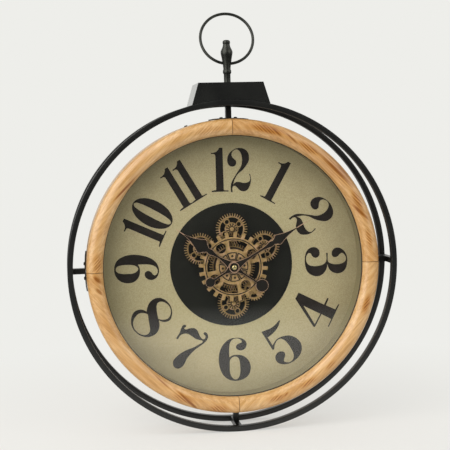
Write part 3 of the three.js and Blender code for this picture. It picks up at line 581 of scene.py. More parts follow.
def lacquered_pine(name, angle, warmth, groups, veins):
    # Sanded pine under satin lacquer: straw ground, faint fibres, groups of late wood lines, dark veins.
    material, add, spot = started("lacquered_pine_" + name)
    # The grain runs along each quarter's chord, and marks are drawn out along it.
    along = add("Mapping", {
        "vector_type": "TEXTURE", "Vector": spot, "Location": (0, 0, DIAL_HEIGHT * MM),
        "Rotation": (0, tangent_turn(angle), 0), "Scale": (GRAIN_STRETCH, 1, 1)})
    rings = add("TexNoise", {"Vector": along, "Scale": per_mm(7), "Detail": 3.0, "Roughness": 0.6})
    fine = add("TexNoise", {"Vector": along, "Scale": per_mm(3), "Detail": 1.0})
    fibre = add("TexNoise", {"Vector": along, "Scale": per_mm(1.4), "Detail": 3.0})
    # Late wood lines are 4 mm apart; a wave repeats every 2 pi / 20 of its scale.
    late = add("TexWave", {
        "wave_type": "BANDS", "bands_direction": "Z", "wave_profile": "SIN", "Vector": along,
        "Scale": per_mm(4) * math.pi / 10, "Distortion": 2.0, "Detail": 2.0, "Detail Scale": 1.5,
    }, "Fac")
    cloud = add("TexNoise", {"Vector": spot, "Scale": per_mm(70), "Detail": 2.0})
    tone = add("MapRange", {
        "Value": cloud, "From Min": 0.4, "From Max": 0.7, "To Min": warmth / 2, "To Max": warmth})
    fine_line = add("MapRange", {"Value": fine, "From Min": 0.42, "From Max": 0.6, "To Max": 0.3})
    late_line = add("MapRange", {"Value": late, "From Min": 0.35, "From Max": 0.75})
    shade = add("Math", {"operation": "MULTIPLY", 0: fine_line, 1: tone})
    # Groups lie along the ring and show the late wood; each vein is one dark line along the grain.
    drift = add("TexNoise", {"Vector": along, "Scale": per_mm(9)}, "Color")
    wander = add("VectorMath", {"operation": "MULTIPLY_ADD", 0: drift, 1: [VEIN_WANDER * MM] * 3, 2: spot})
    shade, tone = marked(add, wander, shade, tone, groups, late_line)
    shade, tone = marked(add, wander, shade, tone, veins, 1.0, angle)
    plain = add("ValToRGB", {"Fac": rings, "stops": [(0.3, "e1be8c"), (0.5, "d7ad75"), (0.7, "c49655")]})
    resin = add("ValToRGB", {"Fac": rings, "stops": [(0.3, "cf9546"), (0.7, "ad7026")]})
    ground = add("Mix", {"data_type": "RGBA", 0: tone, 6: plain, 7: resin}, 2)
    veined = add("Mix", {"data_type": "RGBA", 0: shade, 6: ground, 7: linear("8e5204")}, 2)
    thread = add("ValToRGB", {"Fac": fibre, "stops": [(0.3, "e4dfd8"), (0.6, "ffffff")]})
    colour = add("Mix", {"data_type": "RGBA", "blend_type": "MULTIPLY", 0: 1.0, 6: veined, 7: thread}, 2)
    return shown(material, {
        "Base Color": colour, "IOR": 1.5, "Specular IOR Level": 0.2, "Coat Weight": 1.0,
        "Coat Roughness": 0.26, "Coat IOR": 1.6}, rough=(fibre, 0.5, 0.6), bump=(fibre, 0.15, 0.1))


def printed_board(name, inner, middle, edge):
    # Fibreboard with an antique khaki print under matt varnish; darker and greener towards the edge, which
    # is painted shade from the rim.
    material, add, spot = started(name)
    centred = add("Mapping", {
        "vector_type": "TEXTURE", "Vector": spot, "Location": (0, 0, DIAL_HEIGHT * MM)})
    reach = add("VectorMath", {"operation": "LENGTH", "Vector": centred}, "Value")
    # The print darkens towards the rim as painted shade; a broad noise makes its reach ragged.
    shade_wobble = add("TexNoise", {"Vector": spot, "Scale": per_mm(90), "Detail": 5.0, "Roughness": 0.6})
    speck = add("TexNoise", {"Vector": spot, "Scale": per_mm(2.5), "Detail": 3.0})
    drift = add("MapRange", {"Value": shade_wobble, "To Min": -EDGE_SHADE_DRIFT * MM, "To Max": EDGE_SHADE_DRIFT * MM})
    ragged = add("Math", {"operation": "ADD", 0: reach, 1: drift})
    share = add("MapRange", {"Value": ragged, "From Min": EDGE_SHADE_FROM * MM, "From Max": FILL_RADIUS * MM})
    stops = [(0.0, inner), (0.55, middle), (1.0, edge)]
    print_and_shade = add("ValToRGB", {"Fac": share, "stops": stops})
    grit = add("ValToRGB", {"Fac": speck, "stops": [(0.35, "efece4"), (0.6, "ffffff")]})
    colour = add("Mix", {
        "data_type": "RGBA", "blend_type": "MULTIPLY", 0: 1.0, 6: print_and_shade, 7: grit}, 2)
    return shown(material, {"Base Color": colour, "IOR": 1.45},
                 rough=(speck, 0.62, 0.8), bump=(speck, 0.12, 0.05))


def screen_ink():
    # Thick screen-printed ink: warm brown-black with a faint unevenness.
    return mottled("screen_ink", 8, 4.0, [(0.3, "1e1816"), (0.7, "292220")], (0.5, 0.62),
                   {"IOR": 1.5, "Specular IOR Level": 0.15})


def matt_black_paint():
    # Sprayed matt paint on sheet steel: soft charcoal with a fine mist of grain.
    material, add, spot = started("matt_black_paint")
    mist = add("TexNoise", {"Vector": spot, "Scale": per_mm(2), "Detail": 2.0})
    cloud = add("TexNoise", {"Vector": spot, "Scale": per_mm(70), "Detail": 3.0})
    return shown(material, {"IOR": 1.5, "Specular IOR Level": 0.15},
                 (cloud, [(0.3, "161612"), (0.7, "1d1d18")]), (mist, 0.5, 0.64), (mist, 0.1, 0.05))


def float_glass():
    # Polished float glass: clear, with the room mirrored faintly; its shadow is let through.
    material, add, spot = started("float_glass")
    wave = add("TexNoise", {"Vector": spot, "Scale": per_mm(160), "Detail": 1.0})
    tint = add("ValToRGB", {"Fac": wave, "stops": [(0.3, "f6faf7"), (0.7, "fcfefc")]})
    pane = add("BsdfPrincipled", {
        "Base Color": tint, "Roughness": 0.0, "IOR": 1.5, "Transmission Weight": 1.0})
    open_air = add("BsdfTransparent")
    shadow = add("LightPath", out="Is Shadow Ray")
    both = add("MixShader", {0: shadow, 1: pane, 2: open_air})
    add("OutputMaterial", {"Surface": both})
    return material


def gasket_rubber():
    # Extruded black rubber: dull and lightly dusty.
    return mottled("gasket_rubber", 3, 3.0, [(0.35, "161513"), (0.7, "211f1d")], (0.6, 0.8), {"IOR": 1.52})


def antique_bronze():
    # Die-cast zinc with bronze paint rubbed over a dark wash: old gold faces, dark brown wherever other
    # surfaces lie within 9 mm, which is wash left in every hollow and painted shade, as under the wheel.
    material, add, spot = started("antique_bronze")
    rub = add("TexNoise", {"Vector": spot, "Scale": per_mm(9), "Detail": 6.0, "Roughness": 0.6})
    pit = add("TexNoise", {"Vector": spot, "Scale": per_mm(1.5), "Detail": 2.0})
    face = add("ValToRGB", {"Fac": rub, "stops": [(0.3, "8e7046"), (0.5, "b89763"), (0.72, "d2a88b")]})
    # Ambient occlusion paints the dark brown: wash in the hollows, and painted shade on faces that lie
    # behind other parts.
    open_sky = add("AmbientOcclusion", {"samples": 8, "Distance": 9 * MM}, "AO")
    free_of_wash_and_shade = add("MapRange", {"Value": open_sky, "From Min": 0.4, "From Max": 0.95})
    colour = add("Mix", {"data_type": "RGBA", 0: free_of_wash_and_shade, 6: linear("241810"), 7: face}, 2)
    return shown(material, {"Base Color": colour, "Metallic": 0.45},
                 rough=(rub, 0.52, 0.36), bump=(pit, 0.2, 0.1))


def dark_wash_and_shade():
    # The brown-black wash, dull with a little bronze showing through; laid on the centre gear's web and in
    # narrow recesses, where its darkness is painted shade as well as wash.
    return mottled("dark_wash_and_shade", 5, 5.0, [(0.35, "1f1711"), (0.75, "3b2b1d")], (0.7, 0.5), {"Metallic": 0.2})


def hand_lacquer():
    # Stamped steel under brown-black lacquer: dark faces with a slight gloss.
    return mottled("hand_lacquer", 12, 4.0, [(0.3, "13100d"), (0.7, "1c1814")], (0.34, 0.5),
                   {"IOR": 1.5, "Specular IOR Level": 0.2})


def bronze_edge_and_highlight():
    # Edge of the hands where the lacquer is rubbed back: pinkish bronze with fine scratches; the bright band
    # it makes along every edge is partly painted highlight from light on the bevels.
    return mottled("bronze_edge_and_highlight", 2.5, 5.0, [(0.3, "b28c72"), (0.7, "d9b397")], (0.3, 0.45),
                   {"Metallic": 0.5})


def polished_brass():
    # Turned and polished brass: pale gold with sharp reflections and a few hairlines.
    return mottled("polished_brass", 1.5, 5.0, [(0.3, "cbb987"), (0.7, "e2d3a2")], (0.18, 0.3),
                   {"Metallic": 1.0})


def zinc_plated_steel():
    # Rolled steel with bright zinc: cool grey with cloudy patches.
    material, add, spot = started("zinc_plated_steel")
    patch = add("TexVoronoi", {"Vector": spot, "Scale": per_mm(5), "Randomness": 1.0}, "Color")
    cloud = add("TexNoise", {"Vector": spot, "Scale": per_mm(14), "Detail": 4.0})
    tone = add("Mix", {"data_type": "RGBA", 0: 0.3, 6: cloud, 7: patch}, 2)
    return shown(material, {"Metallic": 1.0},
                 (tone, [(0.2, "858785"), (0.8, "b2b4b1")]), (cloud, 0.28, 0.48))


def black_oxide_steel():
    # Oiled black-oxide screws: dark metal with a brown cast.
    return mottled("black_oxide_steel", 2, 4.0, [(0.3, "252321"), (0.7, "3c3834")], (0.3, 0.46),
                   {"Metallic": 0.9})


def pressed_hardboard():
    # Wet-pressed hardboard: brown matted fibres with the print of the wire screen on its back.
    material, add, spot = started("pressed_hardboard")
    fibre = add("TexNoise", {"Vector": spot, "Scale": per_mm(4), "Detail": 6.0, "Roughness": 0.65})
    # The wires are about 1.2 mm apart, drawn at 3 mm so that they show.
    mesh = {"Vector": spot, "wave_profile": "SIN", "Scale": per_mm(3) * math.pi / 10, "Distortion": 0.6}
    across = add("TexWave", {**mesh, "bands_direction": "X"}, "Fac")
    upward = add("TexWave", {**mesh, "bands_direction": "Z"}, "Fac")
    screen = add("Math", {"operation": "MULTIPLY", 0: across, 1: upward})
    stops = [(0.3, "6c4f33"), (0.55, "86653f"), (0.8, "9d7a50")]
    return shown(material, {"IOR": 1.45}, (fibre, stops), (fibre, 0.75, 0.92), (screen, 0.4, 0.2))


def moulded_abs():
    # Injection-moulded ABS from a spark-eroded tool: dull black with an even grain.
    # The spark grain is about 0.3 mm, drawn at 1 mm so that it shows.
    return mottled("moulded_abs", 1, 2.0, [(0.3, "1b1b1c"), (0.7, "262627")], (0.46, 0.62), {"IOR": 1.54},
                   (1, 2.0, 0.3, 0.08))


def shrink_wrap():
    # Plain grey shrink film over a steel can: smooth and lightly glossy, scuffed in places.
    return mottled("shrink_wrap", 5, 5.0, [(0.35, "74777b"), (0.7, "94979b")], (0.25, 0.42),
                   {"Metallic": 0.3})


STEEL_BAR = powder_coated_steel()
ENAMEL = baked_enamel()
GUNMETAL = gunmetal_plate()
# The dial's print carries painted shade towards the rim.
DIAL_PRINT_AND_SHADE = printed_board("printed_dial_board_and_shade", "c5b892", "c0b28e", "aa9e7d")
# The liner card is printed darker than the dial: painted shade for the wall of the recess.
LINER_PRINT_AND_SHADE = printed_board("liner_card_painted_shade", "968b6a", "918666", "8d8263")
INK = screen_ink()
DISC_PAINT = matt_black_paint()
GLASS = float_glass()
RUBBER = gasket_rubber()
BRONZE = antique_bronze()
WASH_AND_SHADE = dark_wash_and_shade()
LACQUER = hand_lacquer()
HAND_BRONZE_AND_HIGHLIGHT = bronze_edge_and_highlight()
BRASS = polished_brass()
ZINC = zinc_plated_steel()
BLACK_SCREW = black_oxide_steel()
HARDBOARD = pressed_hardboard()
ABS = moulded_abs()
WRAP = shrink_wrap()


# Camera, fitted to the hoops and the wooden ring, in metres
CAMERA_PLACE = (-0.29977, -2.03298, -0.09268)
CAMERA_TURN = (85.75, 1.494, -8.373)
FOCAL_PIXELS = 1100.0
IMAGE_PIXELS = 450.0


def make_camera():
    camera = bpy.data.cameras.new("camera")
    camera.sensor_width = 36.0
    camera.lens = camera.sensor_width * FOCAL_PIXELS / IMAGE_PIXELS
    viewer = link("camera", camera)
    viewer.location = CAMERA_PLACE
    viewer.rotation_euler = [math.radians(angle) for angle in CAMERA_TURN]
    bpy.context.scene.camera = viewer


# Steel frame
def make_hoops():
    for side in ("front", "rear"):
        name = side + "_hoop"
        bar = washer(HOOP_INNER, HOOP_OUTER, back_of(name), front_of(name), HOOP_EDGE, 2 * TURN_STEPS)
        piece("hoop_bar_" + side, bar, STEEL_BAR, "case", stands_for=[name])
    for side in STRUT_ANGLES:
        dress("spacer_bar_" + side, STEEL_BAR, edge=0.9)
        dress("rim_bracket_" + side, STEEL_BAR, edge=0.5)


def pan_head(radius, rise):
    """Domed screw head with a cross recess, standing on the plane z = 0."""
    dome = [(out * radius, up * rise) for out, up in HEAD_DOME]
    arm = RECESS_ARM * radius
    half = RECESS_HALF * radius
    cross = [(half, half), (arm, half), (arm, -half), (half, -half), (half, -arm), (-half, -arm),
             (-half, -half), (-arm, -half), (-arm, half), (-half, half), (-half, arm), (half, arm)]
    return carved(turned(dome, SMALL_STEPS), flat([cross], RECESS_FLOOR * rise, 2 * rise))


def make_bracket_screws():
    depth = (back_of("rim_bracket_top") + front_of("rim_bracket_top")) / 2
    for side, strut in STRUT_ANGLES.items():
        for letter, angle in (("a", strut + SCREW_ANGLE), ("b", strut - SCREW_ANGLE)):
            shank = rod(SCREW_SHANK, -SCREW_LENGTH, SCREW_LAP)
            screw = gathered(pan_head(SCREW_HEAD, SCREW_RISE), shank)
            moved(screw, at(*polar(SCREW_SEAT, angle), depth), turn(angle), turn(90, "Y"))
            end = f"{letter}_{side}"
            piece("pan_screw_" + end, screw, BLACK_SCREW, "case",
                  stands_for=["bracket_screw_" + end])
    side_screw = moved(pan_head(SCREW_HEAD, SCREW_RISE), at(*polar(RIM_OUTER, SIDE_SCREW_ANGLE), depth),
                       turn(SIDE_SCREW_ANGLE), turn(90, "Y"))
    piece("rim_side_screw", side_screw, BLACK_SCREW, "case")


# Wooden ring: each quarter has the angle of its middle, its warmth, its groups of lines and its veins
RIM_QUARTERS = {
    # A group or vein has the angle and radius of its middle, half its length and width, and its strength.
    "upper_right": (
        45, 0.7,
        [(75.8, 254, 36, 9, 1.2), (57, 251, 26, 8, 1.0), (42, 254, 62, 15, 0.6), (27, 253, 24, 9, 0.9),
         (10, 250, 24, 7, 0.8)],
        [(72, 254, 18, 2.8, 1.0), (65, 252, 24, 2.4, 0.8), (42, 253.2, 46, 4.2, 1.0),
         (40, 261, 24, 2.4, 0.8), (22.2, 247.8, 21, 3.8, 1.2), (19.5, 254, 14, 3, 0.8)]),
    "upper_left": (
        135, 0.25,
        [(176.5, 247, 22, 10, 0.7), (100, 250, 36, 10, 0.4)],
        [(143, 244.2, 34, 2.5, 1.1)]),
    "lower_left": (
        225, 0.4,
        [(261.5, 259, 22, 10, 0.9), (246.5, 254, 24, 9, 0.9)],
        [(248.4, 254.6, 32, 3.4, 1.2), (235, 243.3, 26, 2, 0.8), (182.6, 248.5, 12, 5, 1.0),
         (187.6, 248, 11, 4, 0.7)]),
    "lower_right": (
        315, 0.25,
        [(342.2, 251.5, 18, 6.5, 1.1), (300.5, 251.5, 22, 6, 0.8), (286, 252, 20, 7, 0.8),
         (312.5, 252.5, 15, 5, 0.6)],
        [(290, 251, 7, 2.4, 0.8)]),
}
CROWN_STEPS = 20


def make_rim():
    back = back_of("rim_quarter_upper_right")
    shoulder = front_of("rim_quarter_upper_right") - RIM_CROWN
    lip = front_of("glass") + GLASS_GAP
    middle = (RIM_OUTER + RIM_INNER) / 2
    half = (RIM_OUTER - RIM_INNER) / 2
    crown = []
    for k in range(CROWN_STEPS + 1):
        angle = math.pi * k / CROWN_STEPS
        crown.append((middle + half * math.cos(angle), shoulder + RIM_CROWN * math.sin(angle)))
    section = [(RIM_OUTER - RIM_BACK_EDGE, back), (RIM_OUTER, back + RIM_BACK_EDGE), *crown,
               (RIM_INNER, lip), (RIM_REBATE, lip), (RIM_REBATE, back)]
    gap = math.degrees(SEAM_HALF / middle)
    for name, (angle, *grain) in RIM_QUARTERS.items():
        quarter = turned(section, QUARTER_STEPS, start=angle - 45 + gap, sweep=90 - 2 * gap)
        pine = lacquered_pine(name, angle, *grain)
        piece("pine_" + name, quarter, pine, "case", stands_for=["rim_quarter_" + name])


def make_case_filling():
    # The liner's darker print is painted shade on the recess wall; the dial's print darkens towards the rim
    # as painted shade.
    liner = washer(LINER_BORE, FILL_RADIUS, back_of("dial_liner"), front_of("dial_liner"))
    piece("liner_card", liner, LINER_PRINT_AND_SHADE, "case", stands_for=["dial_liner"])
    gasket = washer(GASKET_BORE, FILL_RADIUS, back_of("glass_gasket"), front_of("glass_gasket"), GASKET_EDGE)
    piece("gasket_strip", gasket, RUBBER, "case", stands_for=["glass_gasket"])
    dress("dial", DIAL_PRINT_AND_SHADE)
    dress("centre_plate", DISC_PAINT, edge=0.2)
    dress("glass", GLASS)
    dress("back_panel", HARDBOARD, edge=0.4)


# Numerals: outlines as printed, in millimetres about the middle of each figure; C marks a corner
C = True


def ring_outline(half_width, half_height, power, steps=16):
    """Smooth closed outline from an ellipse (power 2) to a squarer oval."""
    outline = []
    for k in range(steps):
        right, up = polar(1.0, 360 * k / steps)
        x = math.copysign(abs(right) ** (2 / power), right) * half_width
        y = math.copysign(abs(up) ** (2 / power), up) * half_height
        outline.append((x, y))
    return outline


FIGURES = {
    "0": [ring_outline(23.5, 40, 2), ring_outline(6.9, 38, 2.6)],
    "1": [[
        (0, 41, C), (6, 41, C), (6.5, -36, C), (8, -37.2, C), (15.5, -37.5, C), (15.5, -39.5, C),
        (-16, -39.5, C), (-16, -37.5, C), (-7.5, -36, C), (-7.5, 26, C), (-9, 29), (-15.5, 30, C),
        (-15.5, 32, C), (-8, 33), (-3, 36.5),
    ]],
    "2": [[
        (-18.5, -41, C), (-14.5, -41, C), (-15, -33), (-13.5, -30.5), (-9, -29.5), (-4, -33), (2, -38),
        (10, -40), (18, -38), (24, -31), (27.5, -20), (27, -14), (25.5, -8, C), (23.5, -8.5, C),
        (25.5, -15), (25, -20), (20, -23.5), (12, -24.5), (0, -22.5), (-5, -22.5), (-10, -24.5),
        (-13, -27, C), (-9, -17), (-3, -9), (10, 0), (18, 8), (23.5, 16), (24.3, 23), (22, 31), (15, 37),
        (5, 39.5), (-4, 39), (-14, 35), (-22, 28), (-25, 20), (-24, 12), (-19, 7), (-13, 6), (-8, 7.5),
        (-5, 12), (-6, 17), (-10, 20), (-14, 24), (-15, 29), (-12, 34), (-6, 37), (0, 36), (5, 31), (8, 23),
        (8, 14), (5, 5), (0, -1), (-9, -12), (-15, -20), (-18.5, -28),
    ]],
    "3": [[
        (-16, 4, C), (-16, 1, C), (-2, 1), (2, -1), (5.5, -6), (7.5, -14), (7.5, -24), (5, -32), (0, -36.5),
        (-6, -37.5), (-13, -36), (-17, -32), (-16, -28.5), (-11, -25.5), (-8, -21), (-8.5, -16),
        (-12, -12.5), (-18, -11.5), (-24, -14), (-27.5, -20), (-27, -28), (-22, -35), (-13, -39), (-3, -40),
        (8, -39), (18, -35), (25, -26), (27, -17), (25, -9), (19, -2), (11, 2), (5, 3, C), (12, 5),
        (18, 9.5), (22.5, 18), (23, 25), (20, 33), (13, 38.5), (3, 41), (-6, 41), (-14, 38.5), (-21, 33),
        (-25, 25), (-24.5, 18), (-20, 13), (-14, 11.5), (-9.5, 13), (-7.5, 17.5), (-9, 23), (-13, 27),
        (-15, 31), (-12, 35.5), (-6, 38.5), (-1, 38), (3, 34), (5.5, 26), (5.5, 16), (3.5, 9), (1, 5),
        (-2, 4),
    ]],
    "4": [[
        (0, 41.5, C), (13, 41.5, C), (15.5, -12.5, C), (29.5, -12, C), (29.5, -15, C), (16, -16.5, C),
        (17.5, -36, C), (29, -36.5, C), (29, -38.5, C), (-17.5, -41, C), (-17.5, -39, C), (-2, -38, C),
        (-2.5, -17, C), (-30, -17.5, C), (-30, -14, C),
    ], [
        (-4.5, 21, C), (-3, -14.5, C), (-25, -14.5, C),
    ]],
    "5": [[
        (-19, 41, C), (-10, 39), (0, 37.5), (10, 38.5), (20, 41.5, C), (22, 40.5, C), (15, 34), (8, 30),
        (0, 27.5), (-8, 26), (-14.5, 26, C), (-14.5, 8, C), (-9, 11), (-2, 13.5), (5, 13.3), (12, 11.5),
        (22, 6.5), (29, -2), (32.5, -12), (32, -21), (27, -30), (18, -36.5), (8, -39), (-2, -39),
        (-11, -36.5), (-19, -31), (-23.5, -23), (-22.5, -15.5), (-18, -10.5), (-12, -9), (-6, -11),
        (-2.5, -15.5), (-4, -21), (-9, -25.5), (-11.5, -29), (-9, -33.5), (-4, -36.5), (2, -36.5),
        (7.5, -33), (11, -26), (12, -16), (11.5, -4), (9, 5), (5, 10), (0, 11.5), (-7, 9), (-12, 5),
        (-15, 1), (-16.5, 0, C), (-19, 0.5, C),
    ]],
    "6": [[
        (2, 41), (10, 40.5), (17, 37.5), (22, 31.5), (22, 25), (18.5, 19.5), (12, 17), (6, 18.5), (2.5, 23),
        (4.5, 28), (9, 30.5), (13, 32), (13, 35), (10, 38), (5, 39.7), (0, 39.5), (-5, 37), (-8.5, 32),
        (-10, 25), (-10.5, 15), (-10.5, 5, C), (-5, 8), (2, 9), (10, 8.5), (18, 5), (25, -2), (29, -12),
        (28.5, -22), (24, -31), (15, -37), (5, -39.3), (-4, -39.3), (-13, -36), (-21, -29.5), (-27, -19),
        (-30, -6), (-30, 8), (-26, 22), (-18, 33), (-8, 39.5),
    ], [
        (0, 6), (-5, 4.5), (-9, 0), (-10, -10), (-9.5, -25), (-6, -33), (0, -37), (6, -34), (9, -26),
        (9.5, -12), (8, -1), (5, 4.5),
    ]],
    "7": [[
        (-26.7, 38.5), (-23.2, 37.5), (-24, 32), (-21, 31.5), (-16, 36), (-10, 40), (-5, 41), (0, 39.5),
        (5, 35.5), (11, 31.5), (17, 30.5), (19, 34), (17.5, 37.5), (13.5, 39), (12, 41), (14, 43.5),
        (18, 43), (22.5, 39), (23.5, 33), (22, 26), (18, 17), (12, 5), (9, -5), (7, -15), (7.5, -25),
        (6, -33), (1, -39), (-4, -40), (-10, -37), (-13.5, -30), (-11.5, -20), (-7, -10), (0, 0), (8, 9),
        (14, 18), (17.5, 26.5), (12, 26), (4, 24.8), (-5, 25.8), (-14, 26), (-20, 23), (-24, 18),
        (-25, 9, C), (-29, 8.7, C), (-28, 20),
    ]],
    "8": [[
        (1, 40), (11, 37.5), (19, 32), (23.5, 25), (22, 16.5), (17, 10.5), (13, 8, C), (20, 5), (27, -1),
        (31, -9), (31, -18), (27.5, -27), (19, -35), (8, -39.5), (-2, -40), (-12, -36.5), (-20, -30),
        (-24.5, -21.5), (-23, -12), (-18, -5.5), (-13, -2.5, C), (-19, 3), (-24, 11), (-25.5, 20),
        (-23, 28.5), (-17, 35), (-8, 39),
    ], [
        (2, 37.5), (10, 35.5), (16.5, 30), (19, 23), (16, 14.5), (10.5, 8.5, C), (3, 11), (-7, 15.5),
        (-13, 19.5), (-15.5, 25), (-13, 31), (-7, 35.5),
    ], [
        (-8, -3.5, C), (-13.5, -8.5), (-17, -16), (-15.5, -25), (-10, -33), (-1, -37.5), (8, -37.2),
        (16, -34), (22, -28), (23.5, -21.5), (20.5, -16), (13, -12), (3, -8), (-4, -4.7),
    ]],
    "9": [[
        (2, 41.5), (10, 40), (18, 35), (24, 25), (27, 12), (26.5, -2), (24, -14), (20, -24), (14, -32.5),
        (6, -38), (-4, -40), (-12, -38), (-18, -33), (-20.5, -26), (-18.5, -19), (-14, -14.5), (-9, -13.5),
        (-5, -16), (-3.5, -20.5), (-6, -25.5), (-10.5, -29), (-12, -32.5), (-9.5, -36), (-5, -37.5),
        (0, -36.5), (4, -33), (7, -27), (8.5, -18), (8.8, -8), (8.8, -2, C), (4, -4.3), (-2, -5.3),
        (-9, -4.5), (-16, -1.5), (-22, 5), (-24.5, 14), (-23.5, 24), (-19, 33), (-11, 39), (-4, 41.3),
    ], [
        (1, 38.5), (-3.5, 36.5), (-6.5, 30), (-7.5, 18), (-6.5, 6), (-3, 0), (1, -2), (5, 0.5), (8, 7),
        (9, 18), (8.5, 28), (6, 36),
    ]],
}

# Figures of each hour, with their shift to the side, width and tilt
HOURS = {hour: [(str(hour), 0, 1, 0)] for hour in range(1, 10)}
HOURS[10] = [("1", -19.7, 1, 4.8), ("0", 15, 1, 0)]
HOURS[11] = [("1", -13.4, 1, 0), ("1", 12.9, 1, 0)]
HOURS[12] = [("1", -19.2, 1, 0), ("2", 15.7, 0.82, 0)]
NUMERAL_CIRCLE = 176.0
NUMERAL_SHIFT = (1.9, -1.9)
INWARD_HOURS = (4, 5, 6, 7, 8)
INK_THICK = 0.15


def make_numerals():
    front = front_of("dial")
    for hour, figures in HOURS.items():
        angle = 90 - 30 * hour
        upright = angle - 90 + (180 if hour in INWARD_HOURS else 0)
        x, y = polar(NUMERAL_CIRCLE, angle)
        spot = at(x + NUMERAL_SHIFT[0], y + NUMERAL_SHIFT[1]) @ turn(upright)
        shapes = []
        for figure, shift, width, tilt in figures:
            drawn = flat(FIGURES[figure], front, front + INK_THICK, smooth=True)
            shapes.append(moved(drawn, spot, at(shift, 0), turn(tilt), Matrix.Scale(width, 4, (1, 0, 0))))
        piece(f"numeral_{hour}", gathered(*shapes), INK, "case")


# Crown block, finial and ring: the finial's outline is given as radius and height above the block
FINIAL_FOOT = [(0.0, -11.0), (3.0, -11.0), (3.0, 0.1), (6.1, 0.1), (6.1, 16.6), (6.6, 17.6), (7.3, 18.3),
               (7.7, 19.4), (7.7, 23.1), (7.3, 24.2), (6.7, 24.9)]
FINIAL_BULB = [(6.8, 28.0), (7.3, 32.5), (8.0, 37.0), (8.7, 42.0), (9.5, 47.0), (10.5, 52.0), (11.0, 55.5),
               (10.7, 58.0), (9.5, 61.0), (7.9, 64.0), (6.8, 67.0), (6.3, 70.0)]
FINIAL_CAP = [(6.4, 71.4), (6.8, 72.4), (6.9, 73.6), (6.8, 75.2), (6.1, 76.7), (4.4, 77.9), (2.2, 78.4),
              (0.0, 78.5)]


def make_crown():
    dress("crown_block", ENAMEL, edge=1.4)
    dress("hanger_plate", ZINC, edge=0.3)
    dress("finial_nut", ZINC, edge=0.4)
    pivot = RING_PIVOT.z - DIAL_HEIGHT
    post = moved(turned(FINIAL_FOOT + FINIAL_BULB + FINIAL_CAP, MIDDLE_STEPS), turn(-90, "X"))
    drill = moved(rod(RING_HOLE, -DRILL_REACH, DRILL_REACH), at(0, pivot - CROWN_TOP), turn(90, "Y"))
    post = moved(carved(post, drill), at(0, CROWN_TOP, FINIAL_DEPTH))
    piece("turned_finial", post, GUNMETAL, "case", stands_for=["finial"])

    hoop = turned([(RING_RADIUS + x, y) for x, y in circle(RING_WIRE, WIRE_STEPS)])
    moved(hoop, at(0, pivot, FINIAL_DEPTH), turn(RING_LEAN, "X"), turn(-RING_SLIP), at(0, RING_RADIUS))
    piece("hanging_wire_ring", hoop, GUNMETAL, "ring", stands_for=["hanging_ring"])


# Gear train
def tooth(middle, root, root_half, tip, tip_half):
    """Corners of a tooth, from the radius and half angle of its root and its tip."""
    return [polar(root, middle - root_half), polar(tip, middle - tip_half),
            polar(tip, middle + tip_half), polar(root, middle + root_half)]


def gear_outline(teeth, first_tooth):
    pitch = GEAR_MODULE * teeth / 2
    root = pitch - TOOTH_ROOT * GEAR_MODULE
    tip = pitch + TOOTH_TIP * GEAR_MODULE
    step = 360 / teeth
    outline = []
    for k in range(teeth):
        outline += tooth(first_tooth + k * step, root, TOOTH_ROOT_HALF * step, tip, TOOTH_TIP_HALF * step)
    return outline


def mesh_angle(teeth, direction):
    """Angle of the first tooth that lets a gear mesh with the centre gear."""
    phase = (CENTRE_TEETH * direction / 360) % 1
    return direction + 180 - 360 / teeth * (0.5 - phase)


def arc_window(span, middle, half, edge):
    """Window between two radii that reaches half an angle to each side of its middle."""
    inner, outer = span
    angles = [middle - half + 2 * half * k / CURVE_STEPS for k in range(CURVE_STEPS + 1)]
    corners = [polar(outer, angle) for angle in angles] + [polar(inner, angle) for angle in reversed(angles)]
    return rounded(corners, edge)


def rosette(seat, face, tip):
    """Ribbed boss in the middle of a small gear, with the knob on it."""
    plinth = [(0.0, seat), (ROSETTE_RADIUS, seat), *edged(ROSETTE_RADIUS, face, ROSETTE_EDGE),
              (KNOB_RADIUS, face), *edged(KNOB_RADIUS, tip, KNOB_EDGE), (0.0, tip)]
    shapes = [turned(plinth, SMALL_STEPS)]
    for k in range(ROSETTE_RIBS):
        rib = bmesh.new()
        bmesh.ops.create_uvsphere(rib, u_segments=12, v_segments=8, radius=1.0)
        size = Matrix.Diagonal((*RIB_HALVES, 1.0))
        shapes.append(moved(rib, turn(360 * k / ROSETTE_RIBS), at(RIB_CIRCLE, 0, face), size))
    return shapes


